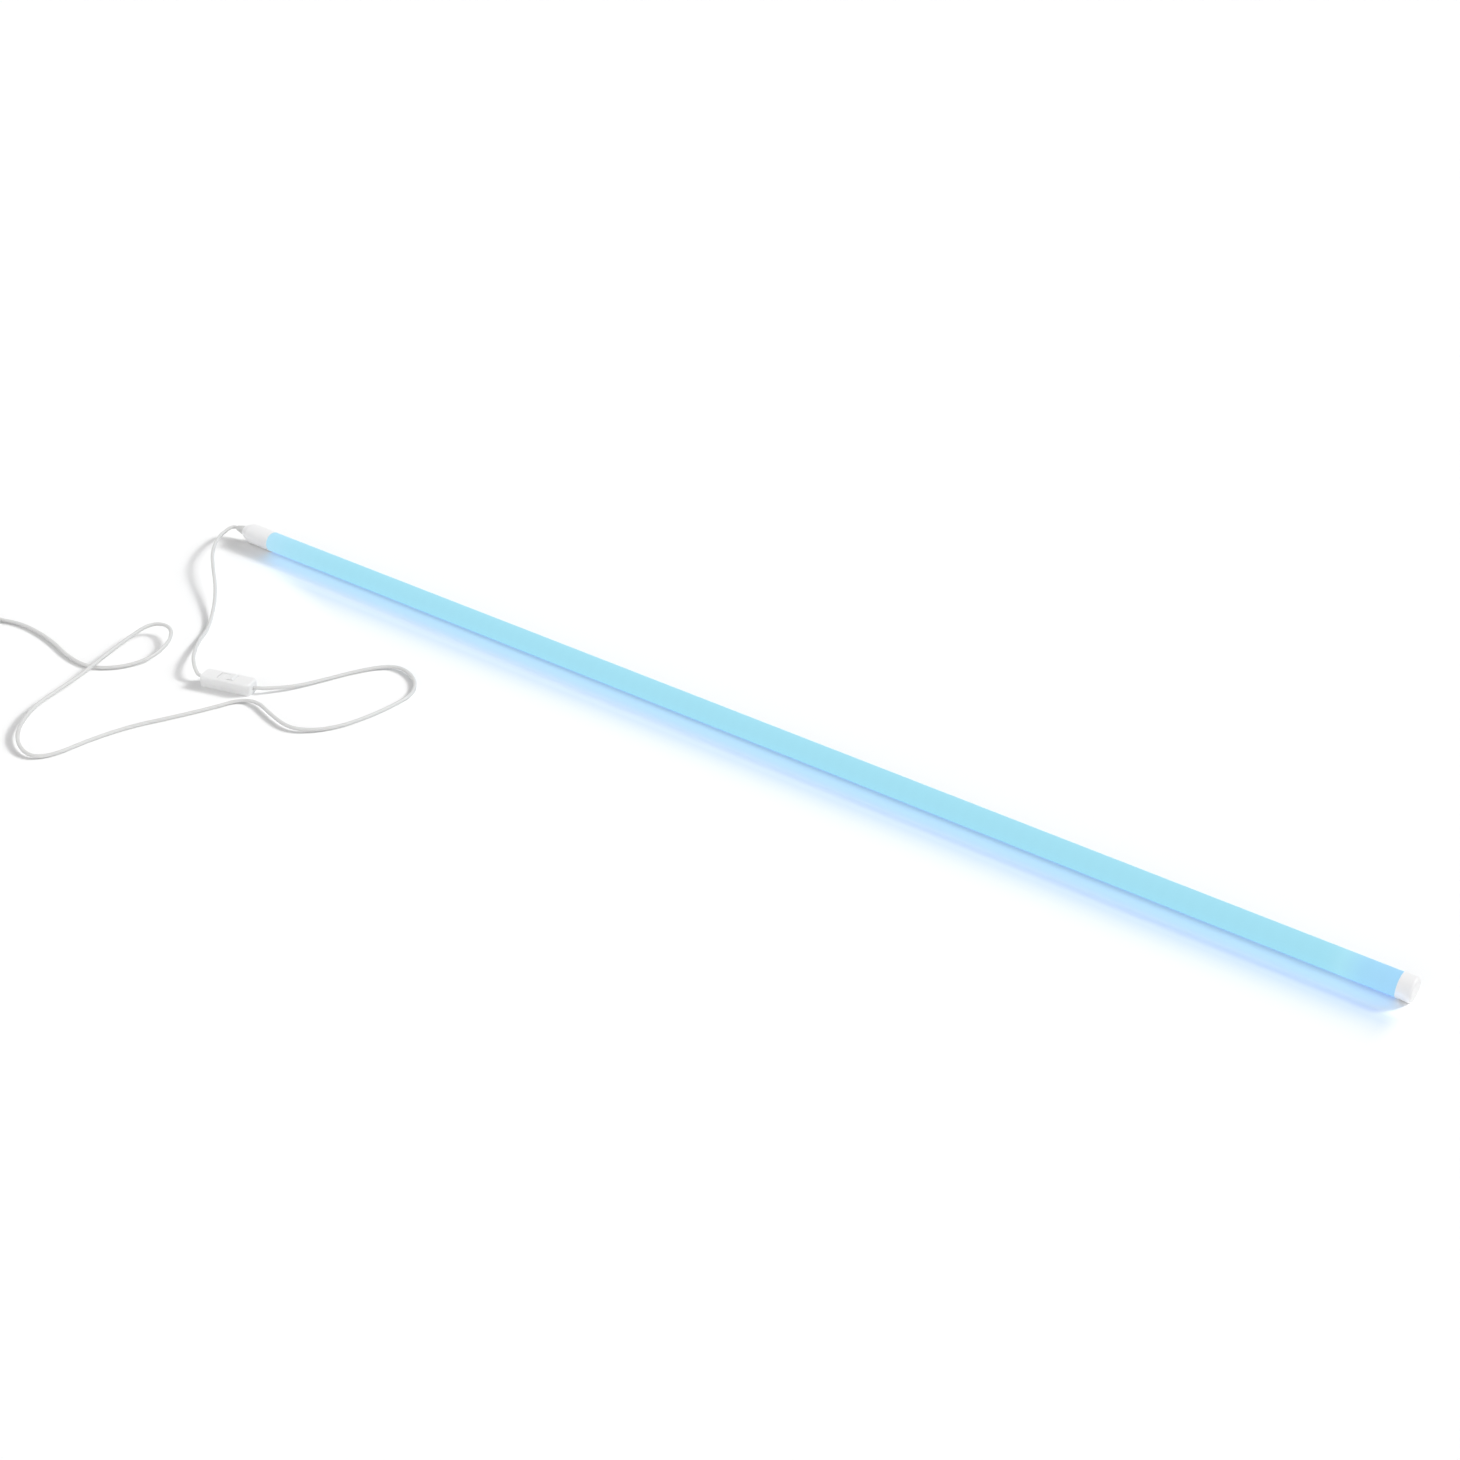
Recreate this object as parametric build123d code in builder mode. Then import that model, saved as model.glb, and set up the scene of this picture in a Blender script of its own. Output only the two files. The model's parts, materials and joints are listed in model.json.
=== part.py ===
from build123d import *
from math import cos, floor, pi, radians, sin, sqrt, tan
import os

# Driving dimensions, in millimetres. The lamp lies along X with its cord end at -X.

# Lamp body
tube_outside = 24.0
tube_wall = 1.2
tube_length = 1438.0
cap_proud = 0.2
cord_cap_length = 50.0
free_cap_length = 14.0
cap_end_wall = 2.5
shoulder_length = 11.5
shoulder_tip = 14.4
shoulder_wall = 1.7
shoulder_round = 5.0
shoulder_tip_round = 0.5
free_cap_round = 2.4
spigot_length = 12.0
spigot_wall = 1.5
spigot_clearance = 0.1
spigot_lead = 0.5
notch_clearance = 0.2

# Strain relief moulded on the cord, held in the end wall of the cord cap
relief_length = 16.0
relief_base = 13.4
relief_tip = 6.0
relief_tip_round = 0.6
relief_neck = 9.0
relief_flange = 12.0
relief_flange_thickness = 2.0
relief_clearance = 0.05
relief_groove_count = 4
relief_groove_pitch = 2.8
relief_groove_width = 1.1
relief_groove_depth = 0.5

# LED carrier, an aluminium channel that slides in two rails of the tube
carrier_drop = 3.6
carrier_plate = 1.4
carrier_side_clearance = 0.25
carrier_end_clearance = 1.0
carrier_leg_height = 3.0
carrier_leg_thickness = 1.2
carrier_leg_spacing = 10.2
rail_grip = 1.5
rail_thickness = 0.9
rail_clearance = 0.1

# LED board
board_width = 12.0
board_thickness = 1.0
led_length = 3.5
led_width = 2.8
led_height = 0.7
led_pitch = 15.0
led_first = 24.0
dark_end = 40.0
leds_per_string = 8
resistor_length = 2.0
resistor_width = 1.25
resistor_height = 0.5
resistor_offset = 4.0

# Driver inside the cord cap
driver_length = 44.0
driver_width = 15.0
driver_thickness = 1.2
driver_ledge = 0.9
driver_ledge_thickness = 1.4
driver_end_clearance = 1.0
seat_clearance = 0.05
capacitor_diameter = 8.0
capacitor_length = 12.5
capacitor_rim = 0.6
capacitor_station = 31.0
choke_diameter = 8.4
choke_winding = 6.6
choke_height = 8.0
choke_flange = 1.2
choke_station = 19.5
rectifier_length = 6.4
rectifier_width = 4.6
rectifier_height = 2.2
rectifier_chamfer = 0.4
rectifier_station = 9.5
rectifier_offset = -3.6
fuse_diameter = 3.2
fuse_length = 8.0
fuse_station = 9.5
fuse_offset = 4.6
core_diameter = 1.7
core_spacing = 2.2
core_landing_spacing = 8.0
core_landing = 3.0
lead_diameter = 1.2
lead_spacing = 6.0
lead_hump = 2.0
lead_landing = 5.0

# Cord
cord_diameter = 4.2

# In-line switch, placed from the cord's exit
switch_from_exit = (282.0, -259.0)
switch_turn = 16.0
switch_length = 64.0
switch_width = 20.0
switch_height = 13.5
switch_parting = 6.5
switch_corner = 5.0
switch_wall = 1.6
switch_floor = 1.4
switch_top_wall = 1.6
switch_top_round = 2.6
switch_foot_round = 0.8
parting_bevel = 0.3
cord_grip_length = 6.0
cord_grip_clearance = 0.05
cord_straight = 11.5
screw_station = 19.0
screw_offset = 6.8
screw_boss = 4.4
screw_shank = 2.2
screw_head = 3.8
screw_head_height = 1.0
screw_recess = 0.4
screw_reach = 9.5

# Rocker and contacts
pivot_height = 8.6
rocker_width = 11.0
rocker_reach = 10.8
rocker_dish = 4.7
rocker_brow = 6.2
rocker_foot = 2.0
rocker_tilt = 6.0
rocker_grip_first = 5.6
rocker_grip_pitch = 1.3
rocker_grip_count = 3
rocker_grip_width = 0.6
rocker_grip_depth = 0.35
rocker_side_clearance = 0.35
rocker_end_clearance = 0.45
pin_diameter = 1.6
pin_running_clearance = 0.05
pin_seat_clearance = 0.02
lug_thickness = 1.6
lug_length = 5.0
lug_below_pin = 1.8
bridge_length = 5.0
bridge_width = 8.0
bridge_thickness = 0.6
bridge_inset = 1.8
contact_gap = 0.3
strip_width = 2.8
strip_thickness = 0.6
strip_offset = 2.3
strip_overlap = 2.0
strip_terminal = 16.5
pad_diameter = 2.4
pad_station = 7.0
pad_height = 0.75
rib_length = 3.0
spring_half_span = 7.0
spring_width = 1.4
spring_thickness = 0.3
spring_gap = 0.4
wire_diameter = 1.8
wire_offset = 6.3
wire_in_cord = 1.1
through_lead_in = 2.5
through_bend_start = 17.0
through_bend_end = 12.0
through_bend_inset = 1.0
through_bend_lift = 0.6
contact_lead_in = 3.0
contact_approach = 0.5
contact_approach_lift = 0.1
input_approach_inset = 0.2
input_landing = 3.0
output_approach_inset = 0.4
output_landing = 3.5

# Coil of the put-away length and its tie, placed from the cord's exit
coil_from_exit = (-68.0, -355.0)
coil_diameter = 50.0
coil_whole_turns = 3
coil_entry_angle = 112.6
coil_exit_angle = 221.0
coil_entry_lay = -45.0
tie_angle = 320.0
tie_thickness = 0.8
tie_width = 5.0
tie_clearance = 0.3

# Two-pin plug, placed from the cord's exit
plug_from_exit = (-61.8, -402.5)
plug_turn = -45.0
plug_straight_cord = 12.0
plug_relief_length = 20.0
plug_relief_base = 10.4
plug_relief_tip = 7.0
plug_groove_count = 5
plug_groove_pitch = 3.2
plug_groove_width = 1.2
plug_groove_depth = 0.6
plug_grip_count = 4
plug_grip_pitch = 3.0
plug_grip_first = 9.0
plug_grip_length = 11.0
plug_grip_width = 1.2
plug_grip_depth = 0.5
plug_length = 36.0
plug_width = 35.3
plug_thickness = 13.7
plug_side_flat = 6.1
plug_neck_width = 13.0
plug_straight = 20.0
plug_edge_round = 1.2
plug_pin_spacing = 18.6
plug_pin_diameter = 4.0
plug_pin_length = 19.0
plug_pin_core = 3.0
plug_pin_root = 8.0
plug_sleeve_diameter = 3.6
plug_sleeve_length = 10.0
plug_pin_clearance = 0.02
plug_pin_round = 1.2

# Stations along X and radii worked out from the driving dimensions
overall_length = relief_length + cord_cap_length + tube_length + free_cap_length
free_end = overall_length / 2
tube_right = free_end - free_cap_length
tube_left = tube_right - tube_length
cord_cap_end = tube_left - cord_cap_length
exit_x = cord_cap_end - relief_length
tube_inside = tube_outside - 2 * tube_wall
cap_outside = tube_outside + 2 * cap_proud
axis_height = cap_outside / 2
lamp_axis = Axis((0, 0, axis_height), (1, 0, 0))
lamp_side = Plane(origin=(0, 0, axis_height), x_dir=(1, 0, 0), z_dir=(0, -1, 0))


def section_at(x):
    """Cross-section plane of the lamp at station x, with its origin on the tube's axis."""
    return Plane(origin=(x, 0, axis_height), x_dir=(0, 1, 0), z_dir=(1, 0, 0))


# Heights of the carrier, measured from the tube's axis
plate_top = -carrier_drop
plate_bottom = plate_top - carrier_plate
carrier_half = sqrt((tube_inside / 2) ** 2 - plate_bottom**2) - carrier_side_clearance
rail_tip = carrier_half - rail_grip
upper_rail = plate_top + rail_clearance + rail_thickness / 2
lower_rail = plate_bottom - rail_clearance - rail_thickness / 2
wall_middle = (tube_inside + tube_wall) / 2


def rail_root(rail_height):
    """How far out a rail at this height reaches, to be rooted in the middle of the tube's wall."""
    return sqrt(wall_middle**2 - (abs(rail_height) + rail_thickness / 2) ** 2)


carrier_left = tube_left + spigot_length + carrier_end_clearance
carrier_right = tube_right - spigot_length - carrier_end_clearance
carrier_length = carrier_right - carrier_left
board_top = plate_top + board_thickness

# Diffuser tube, an extrusion with a pair of rails on each side
with BuildPart() as diffuser_tube:
    with BuildSketch(section_at(tube_left)):
        Circle(tube_outside / 2)
        Circle(tube_inside / 2, mode=Mode.SUBTRACT)
        for rail_height in (upper_rail, lower_rail):
            for side in (-1, 1):
                with Locations((side * (rail_tip + rail_root(rail_height)) / 2, rail_height)):
                    Rectangle(rail_root(rail_height) - rail_tip, rail_thickness)
    extrude(amount=tube_length)

# LED carrier, a plate with two stiffening legs
with BuildPart() as led_carrier:
    with BuildSketch(section_at(carrier_left)):
        with Locations((0, plate_top - carrier_plate / 2)):
            Rectangle(2 * carrier_half, carrier_plate)
        with Locations((0, plate_bottom - carrier_leg_height / 2)):
            with GridLocations(carrier_leg_spacing, 0, 2, 1):
                Rectangle(carrier_leg_thickness, carrier_leg_height)
    extrude(amount=carrier_length)

# LED board on the carrier
with BuildPart() as led_board:
    with BuildSketch(section_at(carrier_left)):
        with Locations((0, plate_top + board_thickness / 2)):
            Rectangle(board_width, board_thickness)
    extrude(amount=carrier_length)

# LEDs in one row, which stops short of the free end
led_row_start = tube_left + led_first
led_row_room = tube_right - dark_end - led_row_start
led_count = floor(led_row_room / led_pitch) + 1
led_row_middle = led_row_start + (led_count - 1) * led_pitch / 2
led_plane = Plane(origin=(led_row_middle, 0, axis_height + board_top))
with BuildPart() as led_chips:
    with BuildSketch(led_plane):
        with GridLocations(led_pitch, 0, led_count, 1):
            Rectangle(led_length, led_width)
    extrude(amount=led_height)

# One current resistor beside each string of LEDs
string_count = led_count // leds_per_string
string_pitch = led_pitch * leds_per_string
with BuildPart() as board_resistors:
    with BuildSketch(led_plane):
        with Locations((0, resistor_offset)):
            with GridLocations(string_pitch, 0, string_count, 1):
                Rectangle(resistor_length, resistor_width)
    extrude(amount=resistor_height)

# Spigots of the two caps fit the tube and are notched for its rails
spigot_outside = tube_inside - 2 * spigot_clearance
spigot_inside = spigot_outside - 2 * spigot_wall
notch_top = upper_rail + rail_thickness / 2 + notch_clearance
notch_bottom = lower_rail - rail_thickness / 2 - notch_clearance
notch_inner = rail_tip - notch_clearance
notch_width = tube_outside / 2 - notch_inner
relief_hole = relief_neck + 2 * relief_clearance


def cut_rail_notches(spigot_start):
    """Cut the two rail notches through a spigot that starts at this station."""
    with BuildSketch(section_at(spigot_start)) as notches:
        with Locations((0, (notch_top + notch_bottom) / 2)):
            with GridLocations(2 * notch_inner + notch_width, 0, 2, 1):
                Rectangle(notch_width, notch_top - notch_bottom)
    extrude(notches.sketch, amount=spigot_length, mode=Mode.SUBTRACT)


# Cord cap, a moulded sleeve with a spigot, a conical shoulder and ledges for the driver board
shoulder_slope = (cap_outside - shoulder_tip) / 2 / shoulder_length
end_wall_inside = cord_cap_end + cap_end_wall
cavity_tip_radius = shoulder_tip / 2 + shoulder_slope * cap_end_wall - shoulder_wall
cavity_cone_start = end_wall_inside + (spigot_inside / 2 - cavity_tip_radius) / shoulder_slope
driver_right = tube_left + spigot_length - driver_end_clearance
driver_left = driver_right - driver_length
driver_bottom = board_top - driver_thickness
ledge_height = driver_bottom - driver_ledge_thickness / 2
ledge_inner = driver_width / 2 - driver_ledge
ledge_outer = sqrt(
    (spigot_outside / 2) ** 2 - (abs(ledge_height) + driver_ledge_thickness / 2) ** 2
)
with BuildPart() as cord_end_cap:
    with BuildSketch(lamp_side):
        with BuildLine():
            Polyline(
                (cord_cap_end, relief_hole / 2),
                (cord_cap_end, shoulder_tip / 2),
                (cord_cap_end + shoulder_length, cap_outside / 2),
                (tube_left, cap_outside / 2),
                (tube_left, spigot_outside / 2),
                (tube_left + spigot_length, spigot_outside / 2),
                (tube_left + spigot_length, spigot_inside / 2),
                (cavity_cone_start, spigot_inside / 2),
                (end_wall_inside, cavity_tip_radius),
                (end_wall_inside, relief_hole / 2),
                close=True,
            )
        make_face()
    revolve(axis=lamp_axis)
    shoulder_rim = edges().filter_by(GeomType.CIRCLE).group_by(SortBy.RADIUS)[-1].sort_by(Axis.X)[0]
    fillet(shoulder_rim, shoulder_round)
    tip_rim = edges().filter_by(GeomType.CIRCLE).group_by(Axis.X)[0].sort_by(SortBy.RADIUS)[-1]
    fillet(tip_rim, shoulder_tip_round)
    spigot_rim = edges().filter_by(GeomType.CIRCLE).group_by(Axis.X)[-1].sort_by(SortBy.RADIUS)[-1]
    chamfer(spigot_rim, spigot_lead)
    with BuildSketch(section_at(driver_left)):
        with Locations((0, ledge_height)):
            with GridLocations(ledge_inner + ledge_outer, 0, 2, 1):
                Rectangle(ledge_outer - ledge_inner, driver_ledge_thickness)
    extrude(amount=tube_left - driver_left)
    cut_rail_notches(tube_left)

# Free end cap, a plain closed cup on a spigot
with BuildPart() as free_end_cap:
    with BuildSketch(lamp_side):
        with BuildLine():
            Polyline(
                (free_end, 0),
                (free_end, cap_outside / 2),
                (tube_right, cap_outside / 2),
                (tube_right, spigot_outside / 2),
                (tube_right - spigot_length, spigot_outside / 2),
                (tube_right - spigot_length, spigot_inside / 2),
                (free_end - cap_end_wall, spigot_inside / 2),
                (free_end - cap_end_wall, 0),
                close=True,
            )
        make_face()
    revolve(axis=lamp_axis)
    outer_rim = edges().filter_by(GeomType.CIRCLE).group_by(Axis.X)[-1].sort_by(SortBy.RADIUS)[-1]
    fillet(outer_rim, free_cap_round)
    spigot_rim = edges().filter_by(GeomType.CIRCLE).group_by(Axis.X)[0].sort_by(SortBy.RADIUS)[-1]
    chamfer(spigot_rim, spigot_lead)
    cut_rail_notches(tube_right - spigot_length)

# Strain relief: a flange inside the end wall, a neck through it and a grooved, tapered boot outside
flange_end = end_wall_inside + relief_flange_thickness
relief_slope = (relief_base - relief_tip) / 2 / relief_length
relief_grooves = [exit_x + (number + 1) * relief_groove_pitch for number in range(relief_groove_count)]
with BuildPart() as strain_relief:
    with BuildSketch(lamp_side):
        with BuildLine():
            Polyline(
                (exit_x, 0),
                (exit_x, relief_tip / 2),
                (cord_cap_end, relief_base / 2),
                (cord_cap_end, relief_neck / 2),
                (end_wall_inside, relief_neck / 2),
                (end_wall_inside, relief_flange / 2),
                (flange_end, relief_flange / 2),
                (flange_end, 0),
                close=True,
            )
        make_face()
        for groove_x in relief_grooves:
            with Locations((groove_x, relief_tip / 2 + (groove_x - exit_x) * relief_slope)):
                Rectangle(relief_groove_width, 2 * relief_groove_depth, mode=Mode.SUBTRACT)
    revolve(axis=lamp_axis)
    fillet(edges().filter_by(GeomType.CIRCLE).group_by(Axis.X)[0], relief_tip_round)

# Driver board on the ledges of the cord cap
driver_plane = Plane(origin=(driver_left, 0, axis_height + board_top))
with BuildPart() as driver_board:
    with BuildSketch(driver_plane):
        with Locations((driver_length / 2, 0)):
            Rectangle(driver_length, driver_width)
    extrude(amount=-driver_thickness)

# Smoothing capacitor, a can that lies on the board, with a pressed groove at its rim
capacitor_height = board_top + capacitor_diameter / 2 + seat_clearance
capacitor_axis = Axis((0, 0, axis_height + capacitor_height), (1, 0, 0))
capacitor_left = driver_left + capacitor_station - capacitor_length / 2
with BuildPart() as smoothing_capacitor:
    with BuildSketch(Plane(origin=capacitor_axis.position, x_dir=(1, 0, 0), z_dir=(0, -1, 0))):
        with Locations((capacitor_left + capacitor_length / 2, capacitor_diameter / 4)):
            Rectangle(capacitor_length, capacitor_diameter / 2)
        with Locations((capacitor_left + 3 * capacitor_rim, capacitor_diameter / 2)):
            Circle(capacitor_rim, mode=Mode.SUBTRACT)
    revolve(axis=capacitor_axis)

# Choke, a drum core with its winding
choke_plane = driver_plane.offset(seat_clearance)
with BuildPart() as driver_choke:
    with BuildSketch(choke_plane):
        with Locations((choke_station, 0)):
            Circle(choke_diameter / 2)
    extrude(amount=choke_flange)
    with BuildSketch(choke_plane.offset(choke_flange)):
        with Locations((choke_station, 0)):
            Circle(choke_winding / 2)
    extrude(amount=choke_height - 2 * choke_flange)
    with BuildSketch(choke_plane.offset(choke_height - choke_flange)):
        with Locations((choke_station, 0)):
            Circle(choke_diameter / 2)
    extrude(amount=choke_flange)

# Bridge rectifier, a moulded block
with BuildPart() as bridge_rectifier:
    with BuildSketch(driver_plane):
        with Locations((rectifier_station, rectifier_offset)):
            Rectangle(rectifier_length, rectifier_width)
    extrude(amount=rectifier_height)
    chamfer(faces().sort_by(Axis.Z)[-1].edges(), rectifier_chamfer)

# Fuse resistor, which lies across the start of the board
with BuildPart() as fuse_resistor:
    fuse_height = axis_height + board_top + fuse_diameter / 2 + seat_clearance
    fuse_start = driver_left + fuse_station - fuse_length / 2
    with BuildSketch(Plane(origin=(fuse_start, fuse_offset, fuse_height), z_dir=(1, 0, 0))):
        Circle(fuse_diameter / 2)
    extrude(amount=fuse_length)


def corner_radii(points):
    """Largest even radius at each corner: 0.45 of the shorter run over the tangent of half the turn."""
    radii = []
    for before, corner, after in zip(points, points[1:], points[2:]):
        turn = radians((corner - before).get_angle(after - corner))
        shorter = min((corner - before).length, (after - corner).length)
        radii.append(0.45 * shorter / tan(turn / 2))
    return radii


def wire_route(points):
    """Straight runs through the points, joined by tangent arcs."""
    FilletPolyline(*points, radius=corner_radii(points))


def wire_section(points):
    """Plane across the start of a route."""
    return Plane(origin=points[0], z_dir=points[1] - points[0])


# Mains cores from the strain relief to the start of the driver board
core_height = axis_height + board_top + core_diameter / 2 + seat_clearance
core_landing_x = driver_left + core_landing


def core_points(side):
    """Route of one core, out of the strain relief and down to the board."""
    leave = Vector(flange_end, side * core_spacing / 2, axis_height)
    land = Vector(core_landing_x, side * core_landing_spacing / 2, core_height)
    bend_out = leave + Vector((land.X - leave.X) / 3, 0, 0)
    bend_in = Vector(core_landing_x - core_landing, land.Y, land.Z)
    return [leave, bend_out, bend_in, land]


with BuildPart() as live_core:
    with BuildLine():
        wire_route(core_points(-1))
    with BuildSketch(wire_section(core_points(-1))):
        Circle(core_diameter / 2)
    sweep()
with BuildPart() as neutral_core:
    with BuildLine():
        wire_route(core_points(1))
    with BuildSketch(wire_section(core_points(1))):
        Circle(core_diameter / 2)
    sweep()

# Low-voltage leads that bridge the driver board and the LED board
lead_height = axis_height + board_top + lead_diameter / 2 + seat_clearance


def lead_points(side):
    """Route of one lead, a small hump over the gap between the two boards."""
    y = side * lead_spacing / 2
    start = driver_right - lead_landing
    end = carrier_left + lead_landing
    middle = (start + end) / 2
    crest_half = (end - start) / 8
    return [
        Vector(start, y, lead_height),
        Vector(middle - crest_half, y, lead_height + lead_hump),
        Vector(middle + crest_half, y, lead_height + lead_hump),
        Vector(end, y, lead_height),
    ]


with BuildPart() as positive_lead:
    with BuildLine():
        wire_route(lead_points(-1))
    with BuildSketch(wire_section(lead_points(-1))):
        Circle(lead_diameter / 2)
    sweep()
with BuildPart() as negative_lead:
    with BuildLine():
        wire_route(lead_points(1))
    with BuildSketch(wire_section(lead_points(1))):
        Circle(lead_diameter / 2)
    sweep()

# In-line switch: its own frame stands on the floor, with x along the cord
switch_plane = Plane(
    origin=(exit_x + switch_from_exit[0], switch_from_exit[1], 0),
    x_dir=(cos(radians(switch_turn)), sin(radians(switch_turn)), 0),
    z_dir=(0, 0, 1),
)


def in_switch(x, y, z):
    """Point of the switch's own frame in the lamp's frame."""
    return switch_plane.from_local_coords(Vector(x, y, z))


def switch_side(y):
    """Side plane of the switch at this offset, with its second direction up."""
    return Plane(origin=in_switch(0, y, 0), x_dir=switch_plane.x_dir, z_dir=-switch_plane.y_dir)


def switch_end(x):
    """Plane across the switch at this station, with its second direction up."""
    return Plane(origin=in_switch(x, 0, 0), x_dir=switch_plane.y_dir, z_dir=switch_plane.x_dir)


cavity_half = switch_length / 2 - cord_grip_length
cavity_width = switch_width - 2 * switch_wall
cavity_corner = switch_corner - switch_wall
grip_radius = cord_diameter / 2 + cord_grip_clearance
strip_top = pivot_height - (rocker_foot + bridge_thickness) * cos(radians(rocker_tilt))
strip_top -= (rocker_reach - bridge_inset) * sin(radians(rocker_tilt)) + contact_gap + pad_height
strip_bottom = strip_top - strip_thickness
screw_places = [(-screw_station, screw_offset), (screw_station, screw_offset)]
input_start = -strip_terminal
input_end = -pad_station + strip_overlap
output_start = -pad_station - strip_overlap
output_end = strip_terminal


def cut_cord_channels():
    """Cut the round cord channel through both ends of a switch shell."""
    with BuildSketch(switch_end(-switch_length / 2)) as channel:
        with Locations((0, switch_parting)):
            Circle(grip_radius)
    extrude(channel.sketch, amount=switch_length, mode=Mode.SUBTRACT)


# Lower shell, with ribs under the contact strips and screw bosses
with BuildPart() as switch_base:
    with BuildSketch(switch_plane):
        RectangleRounded(switch_length, switch_width, switch_corner)
    extrude(amount=switch_parting)
    fillet(faces().sort_by(Axis.Z)[0].edges(), switch_foot_round)
    chamfer(faces().sort_by(Axis.Z)[-1].edges(), parting_bevel)
    with BuildSketch(switch_plane.offset(switch_floor)):
        RectangleRounded(2 * cavity_half, cavity_width, cavity_corner)
    extrude(amount=switch_parting, mode=Mode.SUBTRACT)
    with BuildSketch(switch_plane.offset(switch_floor)):
        for rib_x in (input_start + rib_length / 2, -pad_station):
            with Locations((rib_x, strip_offset)):
                Rectangle(rib_length, strip_width)
        for rib_x in (-pad_station, pad_station, output_end - rib_length / 2):
            with Locations((rib_x, -strip_offset)):
                Rectangle(rib_length, strip_width)
    extrude(amount=strip_bottom - switch_floor)
    with BuildSketch(switch_plane.offset(switch_floor)):
        with Locations(*screw_places):
            Circle(screw_boss / 2)
    extrude(amount=switch_parting - switch_floor)
    cut_cord_channels()
    with BuildSketch(switch_plane):
        with Locations(*screw_places):
            Circle(screw_shank / 2 + pin_seat_clearance)
    extrude(amount=switch_parting, mode=Mode.SUBTRACT)
    with BuildSketch(switch_plane):
        with Locations(*screw_places):
            Circle(screw_head / 2 + pin_seat_clearance)
    extrude(amount=screw_recess + screw_head_height, mode=Mode.SUBTRACT)

# Upper shell, with the rocker's window, its bearing lugs and the screw posts
window_length = 2 * (
    sqrt(rocker_reach**2 - (switch_height - switch_top_wall - pivot_height) ** 2) + rocker_end_clearance
)
window_width = rocker_width + 2 * rocker_side_clearance
lug_middle = (window_width + lug_thickness) / 2
with BuildPart() as switch_cover:
    with BuildSketch(switch_plane.offset(switch_parting)):
        RectangleRounded(switch_length, switch_width, switch_corner)
    extrude(amount=switch_height - switch_parting)
    fillet(faces().sort_by(Axis.Z)[-1].edges(), switch_top_round)
    chamfer(faces().sort_by(Axis.Z)[0].edges(), parting_bevel)
    with BuildSketch(switch_plane.offset(switch_parting)):
        RectangleRounded(2 * cavity_half, cavity_width, cavity_corner)
    extrude(amount=switch_height - switch_top_wall - switch_parting, mode=Mode.SUBTRACT)
    with BuildSketch(switch_plane.offset(switch_height - switch_top_wall)):
        Rectangle(window_length, window_width)
    extrude(amount=switch_top_wall, mode=Mode.SUBTRACT)
    with BuildSketch(switch_plane.offset(pivot_height - lug_below_pin)):
        with GridLocations(0, 2 * lug_middle, 1, 2):
            Rectangle(lug_length, lug_thickness)
    extrude(amount=switch_height - switch_top_wall - pivot_height + lug_below_pin)
    with BuildSketch(switch_plane.offset(switch_parting)):
        with Locations(*screw_places):
            Circle(screw_boss / 2)
    extrude(amount=switch_height - switch_top_wall - switch_parting)
    cut_cord_channels()
    with BuildSketch(switch_side(window_width / 2 + lug_thickness)):
        with Locations((0, pivot_height)):
            Circle(pin_diameter / 2 + pin_seat_clearance)
    extrude(amount=window_width + 2 * lug_thickness, mode=Mode.SUBTRACT)
    with BuildSketch(switch_plane.offset(switch_parting)):
        with Locations(*screw_places):
            Circle(screw_shank / 2 + pin_seat_clearance)
    extrude(amount=screw_recess + screw_reach - switch_parting + pin_seat_clearance, mode=Mode.SUBTRACT)

# Screws that hold the shells together from below
with BuildPart() as switch_screws:
    with BuildSketch(switch_plane.offset(screw_recess)):
        with Locations(*screw_places):
            Circle(screw_head / 2)
    extrude(amount=screw_head_height)
    with BuildSketch(switch_plane.offset(screw_recess + screw_head_height)):
        with Locations(*screw_places):
            Circle(screw_shank / 2)
    extrude(amount=screw_reach - screw_head_height)

# Rocker at rest, with the side towards the lamp pressed
rocker_along = switch_plane.x_dir * cos(radians(rocker_tilt)) + Vector(0, 0, sin(radians(rocker_tilt)))


def rocker_side(y):
    """Side plane of the tilted rocker at this offset, with its origin on the pivot."""
    return Plane(origin=in_switch(0, y, pivot_height), x_dir=rocker_along, z_dir=-switch_plane.y_dir)


rocker_grips = [rocker_grip_first + number * rocker_grip_pitch for number in range(rocker_grip_count)]
with BuildPart() as switch_rocker:
    with BuildSketch(rocker_side(rocker_width / 2)):
        with BuildLine():
            Polyline(
                (-rocker_reach, -rocker_foot),
                (rocker_reach, -rocker_foot),
                (rocker_reach, rocker_brow),
                (0, rocker_dish),
                (-rocker_reach, rocker_brow),
                close=True,
            )
        make_face()
        Circle(rocker_reach, mode=Mode.INTERSECT)
        Circle(pin_diameter / 2 + pin_running_clearance, mode=Mode.SUBTRACT)
        for grip in rocker_grips:
            grip_height = rocker_dish + (rocker_brow - rocker_dish) * grip / rocker_reach
            with Locations((-grip, grip_height), (grip, grip_height)):
                Rectangle(rocker_grip_width, 2 * rocker_grip_depth, mode=Mode.SUBTRACT)
    extrude(amount=rocker_width)

# Pin that the rocker turns on, held in the cover's lugs
with BuildPart() as rocker_pin:
    with BuildSketch(switch_side(window_width / 2 + lug_thickness)):
        with Locations((0, pivot_height)):
            Circle(pin_diameter / 2)
    extrude(amount=window_width + 2 * lug_thickness)

# Contact bridge under the pressed side of the rocker
with BuildPart() as contact_bridge:
    with BuildSketch(rocker_side(bridge_width / 2)):
        with Locations((bridge_inset + bridge_length / 2 - rocker_reach, -rocker_foot - bridge_thickness / 2)):
            Rectangle(bridge_length, bridge_thickness)
    extrude(amount=bridge_width)


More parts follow.
